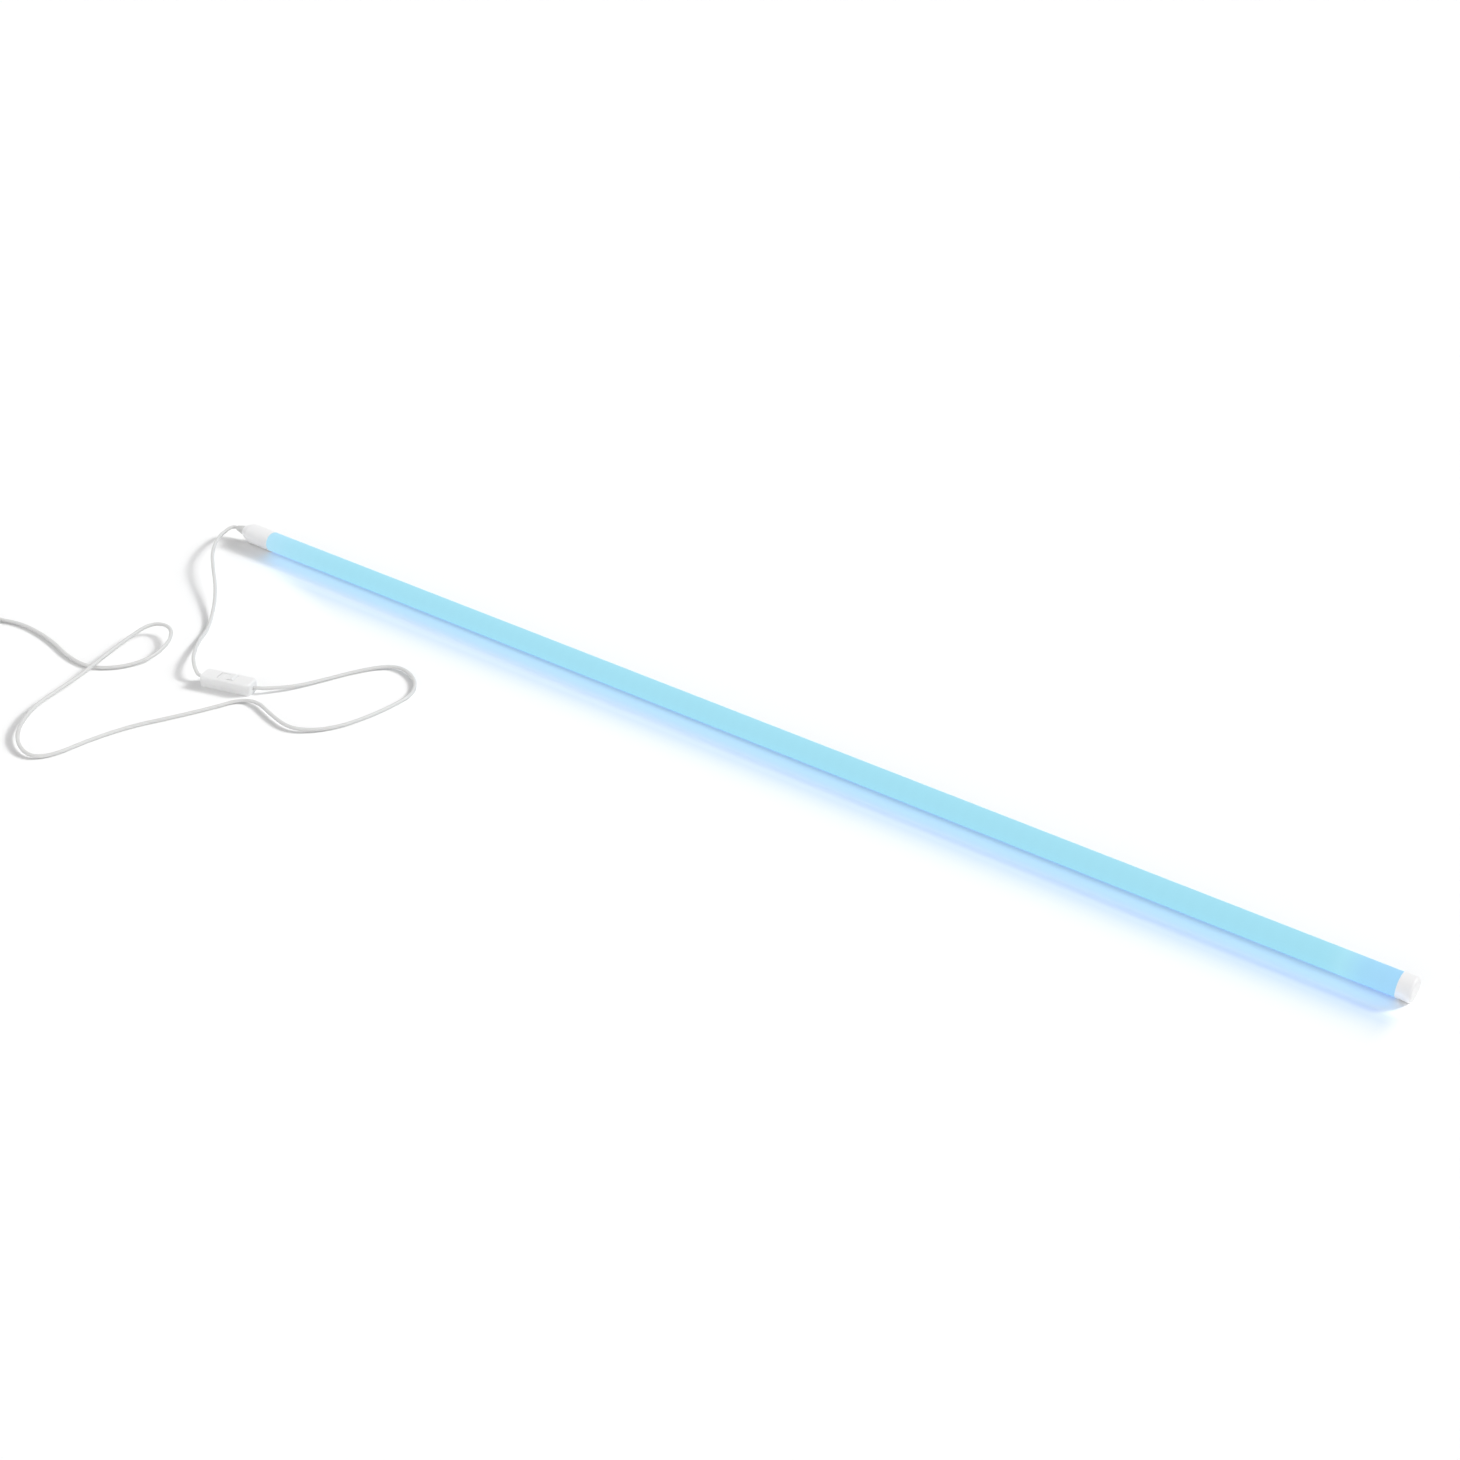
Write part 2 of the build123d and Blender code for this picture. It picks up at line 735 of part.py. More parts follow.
# Fixed contact strips, each with a contact pad under the bridge
def strip_outline(start, end, y):
    """Plan of one contact strip between two stations of the switch."""
    with Locations(((start + end) / 2, y)):
        Rectangle(end - start, strip_width)


with BuildPart() as input_contact:
    with BuildSketch(switch_plane.offset(strip_bottom)):
        strip_outline(input_start, input_end, strip_offset)
    extrude(amount=strip_thickness)
    with BuildSketch(switch_plane.offset(strip_top)):
        with Locations((-pad_station, strip_offset)):
            Circle(pad_diameter / 2)
    extrude(amount=pad_height)
with BuildPart() as output_contact:
    with BuildSketch(switch_plane.offset(strip_bottom)):
        strip_outline(output_start, output_end, -strip_offset)
    extrude(amount=strip_thickness)
    with BuildSketch(switch_plane.offset(strip_top)):
        with Locations((-pad_station, -strip_offset)):
            Circle(pad_diameter / 2)
    extrude(amount=pad_height)

# Bow spring that snaps the rocker over, between the two strips
spring_crest = pivot_height - rocker_foot - spring_gap
with BuildPart() as rocker_spring:
    with BuildSketch(switch_side(spring_width / 2)):
        with BuildLine():
            ThreePointArc(
                (-spring_half_span, switch_floor), (0, spring_crest), (spring_half_span, switch_floor)
            )
            Line((spring_half_span, switch_floor), (spring_half_span - spring_thickness, switch_floor))
            ThreePointArc(
                (spring_half_span - spring_thickness, switch_floor),
                (0, spring_crest - spring_thickness),
                (spring_thickness - spring_half_span, switch_floor),
            )
            Line((spring_thickness - spring_half_span, switch_floor), (-spring_half_span, switch_floor))
        make_face()
    extrude(amount=spring_width)

# Wires inside the switch
through_height = switch_floor + wire_diameter / 2 + seat_clearance
on_strip = strip_top + wire_diameter / 2 + seat_clearance


def mirrored_ends(points):
    """The same points from the other end of the switch, in reverse order."""
    return [(-x, y, z) for x, y, z in reversed(points)]


through_start = [
    (-cavity_half, -wire_in_cord, switch_parting),
    (-cavity_half + through_lead_in, -wire_in_cord, switch_parting),
    (-through_bend_start, -wire_offset + through_bend_inset, through_height + through_bend_lift),
    (-through_bend_end, -wire_offset, through_height),
]
through_points = [in_switch(*p) for p in through_start + mirrored_ends(through_start)]
input_points = [
    in_switch(-cavity_half, wire_in_cord, switch_parting),
    in_switch(-cavity_half + contact_lead_in, wire_in_cord, switch_parting),
    in_switch(
        input_start - contact_approach,
        strip_offset - input_approach_inset,
        on_strip + contact_approach_lift,
    ),
    in_switch(input_start + input_landing, strip_offset, on_strip),
]
output_points = [
    in_switch(cavity_half, wire_in_cord, switch_parting),
    in_switch(cavity_half - contact_lead_in, wire_in_cord, switch_parting),
    in_switch(
        output_end - contact_approach,
        -strip_offset + output_approach_inset,
        on_strip + contact_approach_lift,
    ),
    in_switch(output_end - output_landing, -strip_offset, on_strip),
]
with BuildPart() as through_wire:
    with BuildLine():
        wire_route(through_points)
    with BuildSketch(wire_section(through_points)):
        Circle(wire_diameter / 2)
    sweep()
with BuildPart() as input_wire:
    with BuildLine():
        wire_route(input_points)
    with BuildSketch(wire_section(input_points)):
        Circle(wire_diameter / 2)
    sweep()
with BuildPart() as output_wire:
    with BuildLine():
        wire_route(output_points)
    with BuildSketch(wire_section(output_points)):
        Circle(wire_diameter / 2)
    sweep()

# The cord's route: points from its exit, each with its lift above the floor that it lies on
lie = cord_diameter / 2
exit_lift = axis_height - lie
coil_centre = Vector(exit_x + coil_from_exit[0], coil_from_exit[1], 0)

# Four strands of cord side by side make the coil's round bundle, and each turn moves on by one place
strand_offset = cord_diameter / sqrt(2)
bundle_radius = strand_offset + cord_diameter / 2
bundle_height = bundle_radius + tie_clearance + tie_thickness
coil_turns = coil_whole_turns + (coil_exit_angle - coil_entry_angle) / 360
coil_exit_lay = coil_entry_lay - 90 * coil_turns


def from_exit(dx, dy, lift):
    """Point of the cord's centre line, from the exit in plan and lifted off the floor."""
    return Vector(exit_x + dx, dy, lie + lift)


def on_coil(angle, lay):
    """Point of a strand at this angle round the coil, with its place in the bundle as an angle too."""
    out = coil_diameter / 2 + strand_offset * cos(radians(lay))
    up = bundle_height + strand_offset * sin(radians(lay))
    return coil_centre + Vector(out * cos(radians(angle)), out * sin(radians(angle)), up)


route_to_switch = [
    from_exit(0, 0, exit_lift),
    from_exit(-4, 0, exit_lift),
    from_exit(-6.9, -2.9, exit_lift),
    from_exit(-7, -7.7, exit_lift + 0.3),
    from_exit(-2.7, -16.6, exit_lift + 1.3),
    from_exit(4.6, -32.5, 13),
    from_exit(17, -49.2, 14.8),
    from_exit(38.1, -72.5, 16),
    from_exit(65.6, -95.2, 15),
    from_exit(106.5, -126.2, 10.6),
    from_exit(139.3, -158.3, 5.2),
    from_exit(165, -189.1, 1.8),
    from_exit(181.5, -217.4, 3),
    from_exit(207.5, -245.6, 7),
    from_exit(226, -259.8, 8),
    from_exit(237.3, -266.5, 6.6),
    in_switch(-cavity_half - cord_straight, 0, switch_parting),
    in_switch(-cavity_half, 0, switch_parting),
]
route_from_switch = [
    in_switch(cavity_half, 0, switch_parting),
    in_switch(cavity_half + cord_straight, 0, switch_parting),
    from_exit(327.7, -238.6, 3.6),
    from_exit(342.9, -217.6, 1.5),
    from_exit(355.3, -186.7, 0.2),
    from_exit(369.7, -151.6, 0),
    from_exit(386.6, -126.2, 0.7),
    from_exit(406.1, -116.4, 1.7),
    from_exit(436.7, -126.8, 2.1),
    from_exit(455.4, -149.9, 1.3),
    from_exit(455.7, -179.5, 0.2),
    from_exit(451, -214.9, 0),
    from_exit(441, -248.1, 0.2),
    from_exit(423.6, -271.2, 0.8),
    from_exit(401.3, -282, 1.6),
    from_exit(367.8, -275.3, 2),
    from_exit(334.9, -264.9, 1.5),
    from_exit(314.9, -272.9, 0.3),
    from_exit(304.7, -300, 0),
    from_exit(286.9, -337.9, 0),
    from_exit(264.7, -380, 0),
    from_exit(252.8, -425.9, 0),
    from_exit(248.6, -464, 0.1),
    from_exit(232.9, -483.1, 0.9),
    from_exit(202.8, -476.2, 3.2),
    from_exit(178.1, -455.1, 5),
    from_exit(157.4, -420.3, 5.4),
    from_exit(150.9, -387.6, 6.2),
    from_exit(145.4, -352, 7.4),
    from_exit(136, -320, 8.4),
    from_exit(124, -277.5, 9.2),
    from_exit(118.2, -251.2, 9.8),
    from_exit(116.4, -236.9, 10),
    from_exit(119.1, -226.6, 9.8),
    from_exit(128.1, -220.7, 9.4),
    from_exit(140.3, -221.8, 8.8),
    from_exit(152.2, -230.5, 7.6),
    from_exit(162.2, -245.4, 5.6),
    from_exit(168.5, -274.7, 2.4),
    from_exit(155.4, -304, 0.2),
    from_exit(130.6, -325.3, 0),
    from_exit(93.3, -326.5, 0),
    from_exit(37.9, -311.7, 0),
    from_exit(-16, -308, 0),
    from_exit(-47.5, -318, 0.5),
    from_exit(-66.4, -325.2, 1.4),
    on_coil(coil_entry_angle, coil_entry_lay),
]

# Plug: its own frame stands on the floor, with x from the cord to the pins
plug_plane = Plane(
    origin=(exit_x + plug_from_exit[0], plug_from_exit[1], 0),
    x_dir=(cos(radians(plug_turn)), sin(radians(plug_turn)), 0),
    z_dir=(0, 0, 1),
)
plug_axis_height = plug_thickness / 2


def in_plug(x, y, z):
    """Point of the plug's own frame in the lamp's frame."""
    return plug_plane.from_local_coords(Vector(x, y, z))


def plug_end(x):
    """Plane across the plug at this station, with its origin on the plug's axis."""
    return Plane(origin=in_plug(x, 0, plug_axis_height), x_dir=plug_plane.y_dir, z_dir=plug_plane.x_dir)


route_to_plug = [
    on_coil(coil_exit_angle, coil_exit_lay),
    from_exit(-79.8, -383.8, 4.9),
    in_plug(-plug_straight_cord, 0, plug_axis_height),
    in_plug(0, 0, plug_axis_height),
]


def print_bends(name, points):
    """Print a cord's bends, so that a sharp one shows."""
    bends = [round(r, 1) for r in corner_radii(points)]
    print(name, "tightest bend", min(bends), "mm, all", bends)


def print_volume(name, solid, length):
    """Print a cord's volume beside its section times its length."""
    section = pi * cord_diameter**2 / 4
    print(name, "length", round(length, 1), "volume", round(solid.volume, 1), "of", round(section * length, 1))


with BuildPart() as cord_to_switch:
    with BuildLine() as line_to_switch:
        wire_route(route_to_switch)
    with BuildSketch(wire_section(route_to_switch)):
        Circle(cord_diameter / 2)
    sweep()
with BuildPart() as cord_from_switch:
    with BuildLine() as line_from_switch:
        wire_route(route_from_switch)
    with BuildSketch(wire_section(route_from_switch)):
        Circle(cord_diameter / 2)
    sweep()
with BuildPart() as cord_to_plug:
    with BuildLine() as line_to_plug:
        wire_route(route_to_plug)
    with BuildSketch(wire_section(route_to_plug)):
        Circle(cord_diameter / 2)
    sweep()
for name, points, line, solid in (
    ("cord_to_switch", route_to_switch, line_to_switch, cord_to_switch),
    ("cord_from_switch", route_from_switch, line_from_switch, cord_from_switch),
    ("cord_to_plug", route_to_plug, line_to_plug, cord_to_plug),
):
    print_bends(name, points)
    print_volume(name, solid.part, sum(edge.length for edge in line.edges()))

# Coil of the put-away length, as the outer shape of its turns
coil_axis = Axis(coil_centre, (0, 0, 1))
with BuildPart() as cord_coil:
    with BuildSketch(Plane(origin=coil_centre, x_dir=(1, 0, 0), z_dir=(0, -1, 0))):
        with Locations((coil_diameter / 2, bundle_height)):
            Circle(bundle_radius)
    revolve(axis=coil_axis)

# Tie round the coil's bundle of turns
tie_out = Vector(cos(radians(tie_angle)), sin(radians(tie_angle)), 0)
tie_across = Vector(sin(radians(tie_angle)), -cos(radians(tie_angle)), 0)
tie_start = coil_centre - tie_across * (tie_width / 2)
with BuildPart() as coil_tie:
    with BuildSketch(Plane(origin=tie_start, x_dir=tie_out, z_dir=tie_across)):
        with Locations((coil_diameter / 2, bundle_height)):
            Circle(bundle_radius + tie_clearance + tie_thickness)
            Circle(bundle_radius + tie_clearance, mode=Mode.SUBTRACT)
    extrude(amount=tie_width)

# Plug body: a six-sided block tapered to its neck, with the strain relief moulded on
plug_face = plug_relief_length + plug_length
plug_relief_slope = (plug_relief_base - plug_relief_tip) / 2 / (plug_relief_length + plug_edge_round)
pin_places = [(-plug_pin_spacing / 2, 0), (plug_pin_spacing / 2, 0)]
with BuildPart() as plug_body:
    with BuildSketch(plug_end(plug_relief_length)):
        with BuildLine():
            Polyline(
                (-plug_width / 2, -plug_side_flat / 2),
                (-plug_width / 2 + plug_side_flat, -plug_thickness / 2),
                (plug_width / 2 - plug_side_flat, -plug_thickness / 2),
                (plug_width / 2, -plug_side_flat / 2),
                (plug_width / 2, plug_side_flat / 2),
                (plug_width / 2 - plug_side_flat, plug_thickness / 2),
                (-plug_width / 2 + plug_side_flat, plug_thickness / 2),
                (-plug_width / 2, plug_side_flat / 2),
                close=True,
            )
        make_face()
    extrude(amount=plug_length)
    with BuildSketch(plug_plane):
        with BuildLine():
            Polyline(
                (plug_relief_length, -plug_neck_width / 2),
                (plug_face - plug_straight, -plug_width / 2),
                (plug_face, -plug_width / 2),
                (plug_face, plug_width / 2),
                (plug_face - plug_straight, plug_width / 2),
                (plug_relief_length, plug_neck_width / 2),
                close=True,
            )
        make_face()
    extrude(amount=plug_thickness, mode=Mode.INTERSECT)
    fillet(edges().filter_by(lambda edge: abs(edge.tangent_at(0).Z) < 0.99), plug_edge_round)
    with BuildSketch(plug_end(0)):
        Circle(plug_relief_tip / 2)
    with BuildSketch(plug_end(plug_relief_length + plug_edge_round)):
        Circle(plug_relief_base / 2)
    loft()
    for number in range(plug_groove_count):
        station = (number + 1) * plug_groove_pitch
        with BuildSketch(plug_end(station)):
            Circle(plug_relief_base)
            Circle(plug_relief_tip / 2 + station * plug_relief_slope - plug_groove_depth, mode=Mode.SUBTRACT)
        extrude(amount=plug_groove_width, mode=Mode.SUBTRACT)
    for grip_plane in (plug_plane, plug_plane.offset(plug_thickness - plug_grip_depth)):
        with BuildSketch(grip_plane):
            for number in range(plug_grip_count):
                with Locations((plug_relief_length + plug_grip_first + number * plug_grip_pitch, 0)):
                    SlotOverall(plug_grip_length, plug_grip_width, rotation=90)
        extrude(amount=plug_grip_depth, mode=Mode.SUBTRACT)
    with BuildSketch(plug_end(plug_face)):
        with Locations(*pin_places):
            Circle(plug_pin_core / 2 + plug_pin_clearance)
    extrude(amount=-plug_pin_root, mode=Mode.SUBTRACT)

# Plug pins: a thin core through the sleeve and a full-size tip
with BuildPart() as plug_pins:
    with BuildSketch(plug_end(plug_face - plug_pin_root)):
        with Locations(*pin_places):
            Circle(plug_pin_core / 2)
    extrude(amount=plug_pin_root + plug_sleeve_length)
    with BuildSketch(plug_end(plug_face + plug_sleeve_length)):
        with Locations(*pin_places):
            Circle(plug_pin_diameter / 2)
    extrude(amount=plug_pin_length - plug_sleeve_length)
    tips = faces().filter_by(GeomType.PLANE).group_by(Axis(in_plug(0, 0, 0), plug_plane.x_dir))[-1]
    fillet(tips.edges(), plug_pin_round)

# Insulating sleeves on the pins
with BuildPart() as plug_sleeves:
    with BuildSketch(plug_end(plug_face)):
        with Locations(*pin_places):
            Circle(plug_sleeve_diameter / 2)
            Circle(plug_pin_core / 2 + plug_pin_clearance, mode=Mode.SUBTRACT)
    extrude(amount=plug_sleeve_length)

# Label each piece with its node's name and write it
pieces = {
    "diffuser_tube": diffuser_tube,
    "led_carrier": led_carrier,
    "led_board": led_board,
    "led_chips": led_chips,
    "board_resistors": board_resistors,
    "cord_end_cap": cord_end_cap,
    "free_end_cap": free_end_cap,
    "strain_relief": strain_relief,
    "driver_board": driver_board,
    "smoothing_capacitor": smoothing_capacitor,
    "driver_choke": driver_choke,
    "bridge_rectifier": bridge_rectifier,
    "fuse_resistor": fuse_resistor,
    "live_core": live_core,
    "neutral_core": neutral_core,
    "positive_lead": positive_lead,
    "negative_lead": negative_lead,
    "switch_base": switch_base,
    "switch_cover": switch_cover,
    "switch_screws": switch_screws,
    "switch_rocker": switch_rocker,
    "rocker_pin": rocker_pin,
    "contact_bridge": contact_bridge,
    "input_contact": input_contact,
    "output_contact": output_contact,
    "rocker_spring": rocker_spring,
    "through_wire": through_wire,
    "input_wire": input_wire,
    "output_wire": output_wire,
    "cord_to_switch": cord_to_switch,
    "cord_from_switch": cord_from_switch,
    "cord_coil": cord_coil,
    "coil_tie": coil_tie,
    "cord_to_plug": cord_to_plug,
    "plug_body": plug_body,
    "plug_pins": plug_pins,
    "plug_sleeves": plug_sleeves,
}
os.makedirs("parts", exist_ok=True)
for name, piece in pieces.items():
    piece.part.label = name
    export_step(piece.part, f"parts/{name}.step")
print("pieces", len(pieces), "LEDs", led_count, "strings", string_count)
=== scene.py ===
# %% [markdown]
# # Linear LED tube lamp
# A long frosted tube with a white cap at each end lies lit on a white floor. A thin white lead leaves the
# long cap, passes a small rocker switch and wanders off to its plug. The solids come packed in one fixed
# frame, in metres, and this lesson gives them their looks: the camera, the lead, the finishes with the tube
# among them, the floor and the light, in that order.

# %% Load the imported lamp
import json
import math

import bpy
import numpy as np
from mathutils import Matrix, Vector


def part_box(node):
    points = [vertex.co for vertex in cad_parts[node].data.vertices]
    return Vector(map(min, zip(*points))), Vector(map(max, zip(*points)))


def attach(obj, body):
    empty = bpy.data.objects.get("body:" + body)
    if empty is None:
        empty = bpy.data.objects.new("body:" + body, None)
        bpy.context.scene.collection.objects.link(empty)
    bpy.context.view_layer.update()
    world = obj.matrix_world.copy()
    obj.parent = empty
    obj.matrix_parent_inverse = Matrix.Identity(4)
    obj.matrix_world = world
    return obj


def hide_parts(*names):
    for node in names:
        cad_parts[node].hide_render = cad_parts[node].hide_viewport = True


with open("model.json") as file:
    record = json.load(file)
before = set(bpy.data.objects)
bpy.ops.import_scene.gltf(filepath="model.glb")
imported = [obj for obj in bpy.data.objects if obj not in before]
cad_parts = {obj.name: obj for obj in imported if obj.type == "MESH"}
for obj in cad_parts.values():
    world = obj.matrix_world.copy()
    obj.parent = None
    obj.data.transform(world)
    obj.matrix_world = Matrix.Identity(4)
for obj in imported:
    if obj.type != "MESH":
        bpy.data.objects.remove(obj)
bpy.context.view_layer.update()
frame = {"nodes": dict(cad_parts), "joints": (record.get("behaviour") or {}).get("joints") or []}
nodes = frame["nodes"]
scene = bpy.context.scene
MM = 0.001

# %% [markdown]
# ## Camera
# The photograph looks down on the lamp from its right front, and the tube runs from the upper left to the
# lower right. The camera's place was solved from the tube's two outlines and its two cap seams. A camera
# could be aimed with a constraint at a target, but plain angles say directly what was solved: how far it
# tilts down and turns.

# %% Camera
camera_place = (1123.1 * MM, -1455.2 * MM, 1114.5 * MM)
tilt_down = math.radians(31.322)
turn_left = math.radians(37.294)
camera_data = bpy.data.cameras.new("photo_camera")
camera_data.sensor_width = 36.0
camera_data.lens = 50.0
camera_data.clip_end = 100.0
camera = bpy.data.objects.new("photo_camera", camera_data)
camera.location = camera_place
camera.rotation_euler = (math.pi / 2 - tilt_down, 0.0, turn_left)
scene.collection.objects.link(camera)
scene.camera = camera
scene.view_settings.view_transform = "Standard"
print("camera at", [round(value, 3) for value in camera.location])

# %% [markdown]
# ## The lead's route
# The lead is a fixed length of limp round PVC cord. It leaves the strain relief, arches down to the floor,
# and enters the switch. Beyond the switch it lies in loose curves, crosses over itself once and leaves the
# picture on the left. There the rest of it is wound into a small tied coil, with the plug beside it. A cord
# could be simulated, but the photograph already shows where it came to rest, so its points are listed and a
# NURBS curve smooths them.

# %% Frames for the route
relief_low, relief_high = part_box("strain_relief")
cord_exit = (relief_low.x, (relief_low.y + relief_high.y) / 2, (relief_low.z + relief_high.z) / 2)
cord_diameter = 4.2 * MM
cord_lie = cord_diameter / 2
exit_lift = (cord_exit[2] - cord_lie) / MM

hinge = frame["joints"][0]
switch_centre = np.array([hinge["pos_m"][0], hinge["pos_m"][1], 0.0])
switch_across = np.array(hinge["axis"])
switch_along = np.array([switch_across[1], -switch_across[0], 0.0])


def from_exit(dx, dy, lift):
    """Point of the cord: millimetres from its exit in plan, and lifted that far off the floor it lies on."""
    return (cord_exit[0] + dx * MM, cord_exit[1] + dy * MM, cord_lie + lift * MM)


def in_switch(x, z):
    """Point on the switch's long middle line, x millimetres along it and z above the floor."""
    return tuple(switch_centre + switch_along * x * MM + np.array([0.0, 0.0, z * MM]))


print("cord leaves at", [round(value, 4) for value in cord_exit])

# %% [markdown]
# ## From the lamp to the switch
# The first stretch bends sharply at the strain relief, because the lamp was put down with its lead to one
# side. The cord is springy, and its shadow in the photograph stands well off it: it leaves at the cap's
# height, arches a few millimetres higher, comes down to the floor, and arches once more on its way into the
# switch.

# %% Points to the switch
switch_parting = 6.5
cord_grip_station = 26.0
cord_straight_station = 37.5
points_to_switch = [
    from_exit(0, 0, exit_lift),
    from_exit(-4, 0, exit_lift),
    from_exit(-6.9, -2.9, exit_lift),
    from_exit(-7, -7.7, exit_lift + 0.3),
    from_exit(-2.7, -16.6, exit_lift + 1.3),
    from_exit(4.6, -32.5, 13),
    from_exit(17, -49.2, 14.8),
    from_exit(38.1, -72.5, 16),
    from_exit(65.6, -95.2, 15),
    from_exit(106.5, -126.2, 10.6),
    from_exit(137.8, -157.2, 4.2),
    from_exit(162.3, -187.2, 0),
    from_exit(180.3, -216.5, 2.2),
    from_exit(209.3, -246.9, 8.2),
    from_exit(229, -262, 10),
    from_exit(239.4, -268, 8),
    in_switch(-cord_straight_station, switch_parting),
    in_switch(-cord_grip_station, switch_parting),
]
print("points to the switch:", len(points_to_switch))

# %% [markdown]
# ## From the switch to the coil
# The second stretch makes a wide bight, a wave under the switch, a long straight run to the front, and a
# narrow loop. Where the loop crosses the run that leaves the picture, it passes over it in a long low hump,
# which is highest at the loop's end, about 10 mm off the floor.

# %% Points from the switch
points_from_switch = [
    in_switch(cord_grip_station, switch_parting),
    in_switch(cord_straight_station, switch_parting),
    from_exit(327.7, -238.6, 3.6),
    from_exit(342.9, -217.6, 1.5),
    from_exit(355.3, -186.7, 0.2),
    from_exit(369.7, -151.6, 0),
    from_exit(386.6, -126.2, 0.7),
    from_exit(406.1, -116.4, 0.8),
    from_exit(436.7, -126.8, 0.6),
    from_exit(455.4, -149.9, 0.3),
    from_exit(455.7, -179.5, 0.2),
    from_exit(451, -214.9, 0),
    from_exit(441, -248.1, 0.2),
    from_exit(423.6, -271.2, 0.8),
    from_exit(401.3, -282, 1.6),
    from_exit(367.8, -275.3, 2),
    from_exit(334.9, -264.9, 1.5),
    from_exit(314.9, -272.9, 0.3),
    from_exit(304.7, -300, 0),
    from_exit(286.9, -337.9, 0),
    from_exit(264.7, -380, 0),
    from_exit(252.8, -425.9, 0),
    from_exit(248.6, -464, 0.1),
    from_exit(232.9, -483.1, 0.9),
    from_exit(202.8, -476.2, 3.2),
    from_exit(178.1, -455.1, 5),
    from_exit(157.4, -420.3, 5.4),
    from_exit(150.9, -387.6, 6.2),
    from_exit(145.4, -352, 7.4),
    from_exit(136, -320, 8.4),
    from_exit(124, -277.5, 9.2),
    from_exit(118.2, -251.2, 9.8),
    from_exit(116.4, -236.9, 10),
    from_exit(119.1, -226.6, 9.8),
    from_exit(128.1, -220.7, 9.4),
    from_exit(140.3, -221.8, 8.8),
    from_exit(152.2, -230.5, 7.6),
    from_exit(162.2, -245.4, 5.6),
    from_exit(168.5, -274.7, 2.4),
    from_exit(155.4, -304, 0.2),
    from_exit(130.6, -325.3, 0),
    from_exit(93.3, -326.5, 0),
    from_exit(37.9, -311.7, 0),
    from_exit(-16, -308, 0),
    from_exit(-47.5, -318, 0.5),
    from_exit(-66.4, -325.2, 1.4),
]
print("points from the switch:", len(points_from_switch))

# %% [markdown]
# ## The put-away coil
# A tied coil is a bundle of strands. Four strands fit side by side in a round bundle, one in each quarter,
# and each turn of the cord moves on by a quarter, so no strand lies in another. The control points of a
# curve of order 3 lie outside the circle that it draws, so the radius is divided by the cosine of half a
# step.

# %% Points of the coil
coil_low, coil_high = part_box("cord_coil")
coil_centre = (np.array(coil_low) + np.array(coil_high)) / 2
coil_radius = 25.0 * MM
strand_offset = cord_diameter / math.sqrt(2.0)
coil_entry_angle = 112.6
coil_exit_angle = 221.0
coil_whole_turns = 3
coil_entry_lay = -45.0
coil_step = 15.0
coil_sweep = 360.0 * coil_whole_turns + coil_exit_angle - coil_entry_angle
coil_steps = round(coil_sweep / coil_step)


def on_coil(share):
    """Point of the strand after this share of the coil: round the coil by the swept angle, and round the
    bundle by a quarter for each turn."""
    angle = math.radians(coil_entry_angle + coil_sweep * share)
    lay = math.radians(coil_entry_lay - 90.0 * coil_sweep * share / 360.0)
    out = coil_radius + strand_offset * math.cos(lay)
    out /= math.cos(math.radians(coil_sweep / coil_steps) / 2)
    up = strand_offset * math.sin(lay)
    return tuple(coil_centre + np.array([out * math.cos(angle), out * math.sin(angle), up]))


points_on_coil = [on_coil(step / coil_steps) for step in range(coil_steps + 1)]
print("points on the coil:", len(points_on_coil))

# %% [markdown]
# ## From the coil to the plug
# The last few centimetres come off the coil along its round and run straight into the plug's own strain
# relief.

# %% Points to the plug
plug_entry_from_exit = (-61.8, -402.5)
plug_turn = math.radians(-45.0)
plug_axis_height = 6.85
plug_axis_lift = plug_axis_height - cord_lie / MM
plug_straight = 12.0
points_to_plug = [
    from_exit(-79.8, -383.8, 4.9),
    from_exit(
        plug_entry_from_exit[0] - plug_straight * math.cos(plug_turn),
        plug_entry_from_exit[1] - plug_straight * math.sin(plug_turn),
        plug_axis_lift,
    ),
    from_exit(*plug_entry_from_exit, plug_axis_lift),
]
print("points to the plug:", len(points_to_plug))

# %% [markdown]
# ## The lead as curves
# A bevelled curve gives the cord its round section and keeps its control points open to changes. The order
# and the end points are set after the points are there, because set before they would leave straight runs.


# %% Lead
def make_cord(name, points):
    """One NURBS spline of order 3 from its first point to its last, with a round bevel. The bevel is one
    unit deep and each point's radius scales it to the cord, so that the curve's own box fits the cord."""
    curve = bpy.data.curves.new(name, "CURVE")
    curve.dimensions = "3D"
    curve.bevel_depth = 1.0
    curve.bevel_resolution = 6
    curve.use_fill_caps = True
    spline = curve.splines.new("NURBS")
    spline.points.add(len(points) - 1)
    weighted = np.column_stack([np.array(points), np.ones(len(points))])
    spline.points.foreach_set("co", weighted.ravel())
    spline.points.foreach_set("radius", np.full(len(points), cord_diameter / 2))
    spline.order_u = 3
    spline.use_endpoint_u = True
    spline.resolution_u = 10
    cord = bpy.data.objects.new(name, curve)
    scene.collection.objects.link(cord)
    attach(cord, "lamp")
    return cord


lead_to_switch = make_cord("lead_to_switch", points_to_switch)
lead_to_plug = make_cord("lead_to_plug", points_from_switch + points_on_coil + points_to_plug)
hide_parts("cord_to_switch")
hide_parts("cord_from_switch", "cord_coil", "cord_to_plug")
print("made", lead_to_switch.name, "and", lead_to_plug.name)

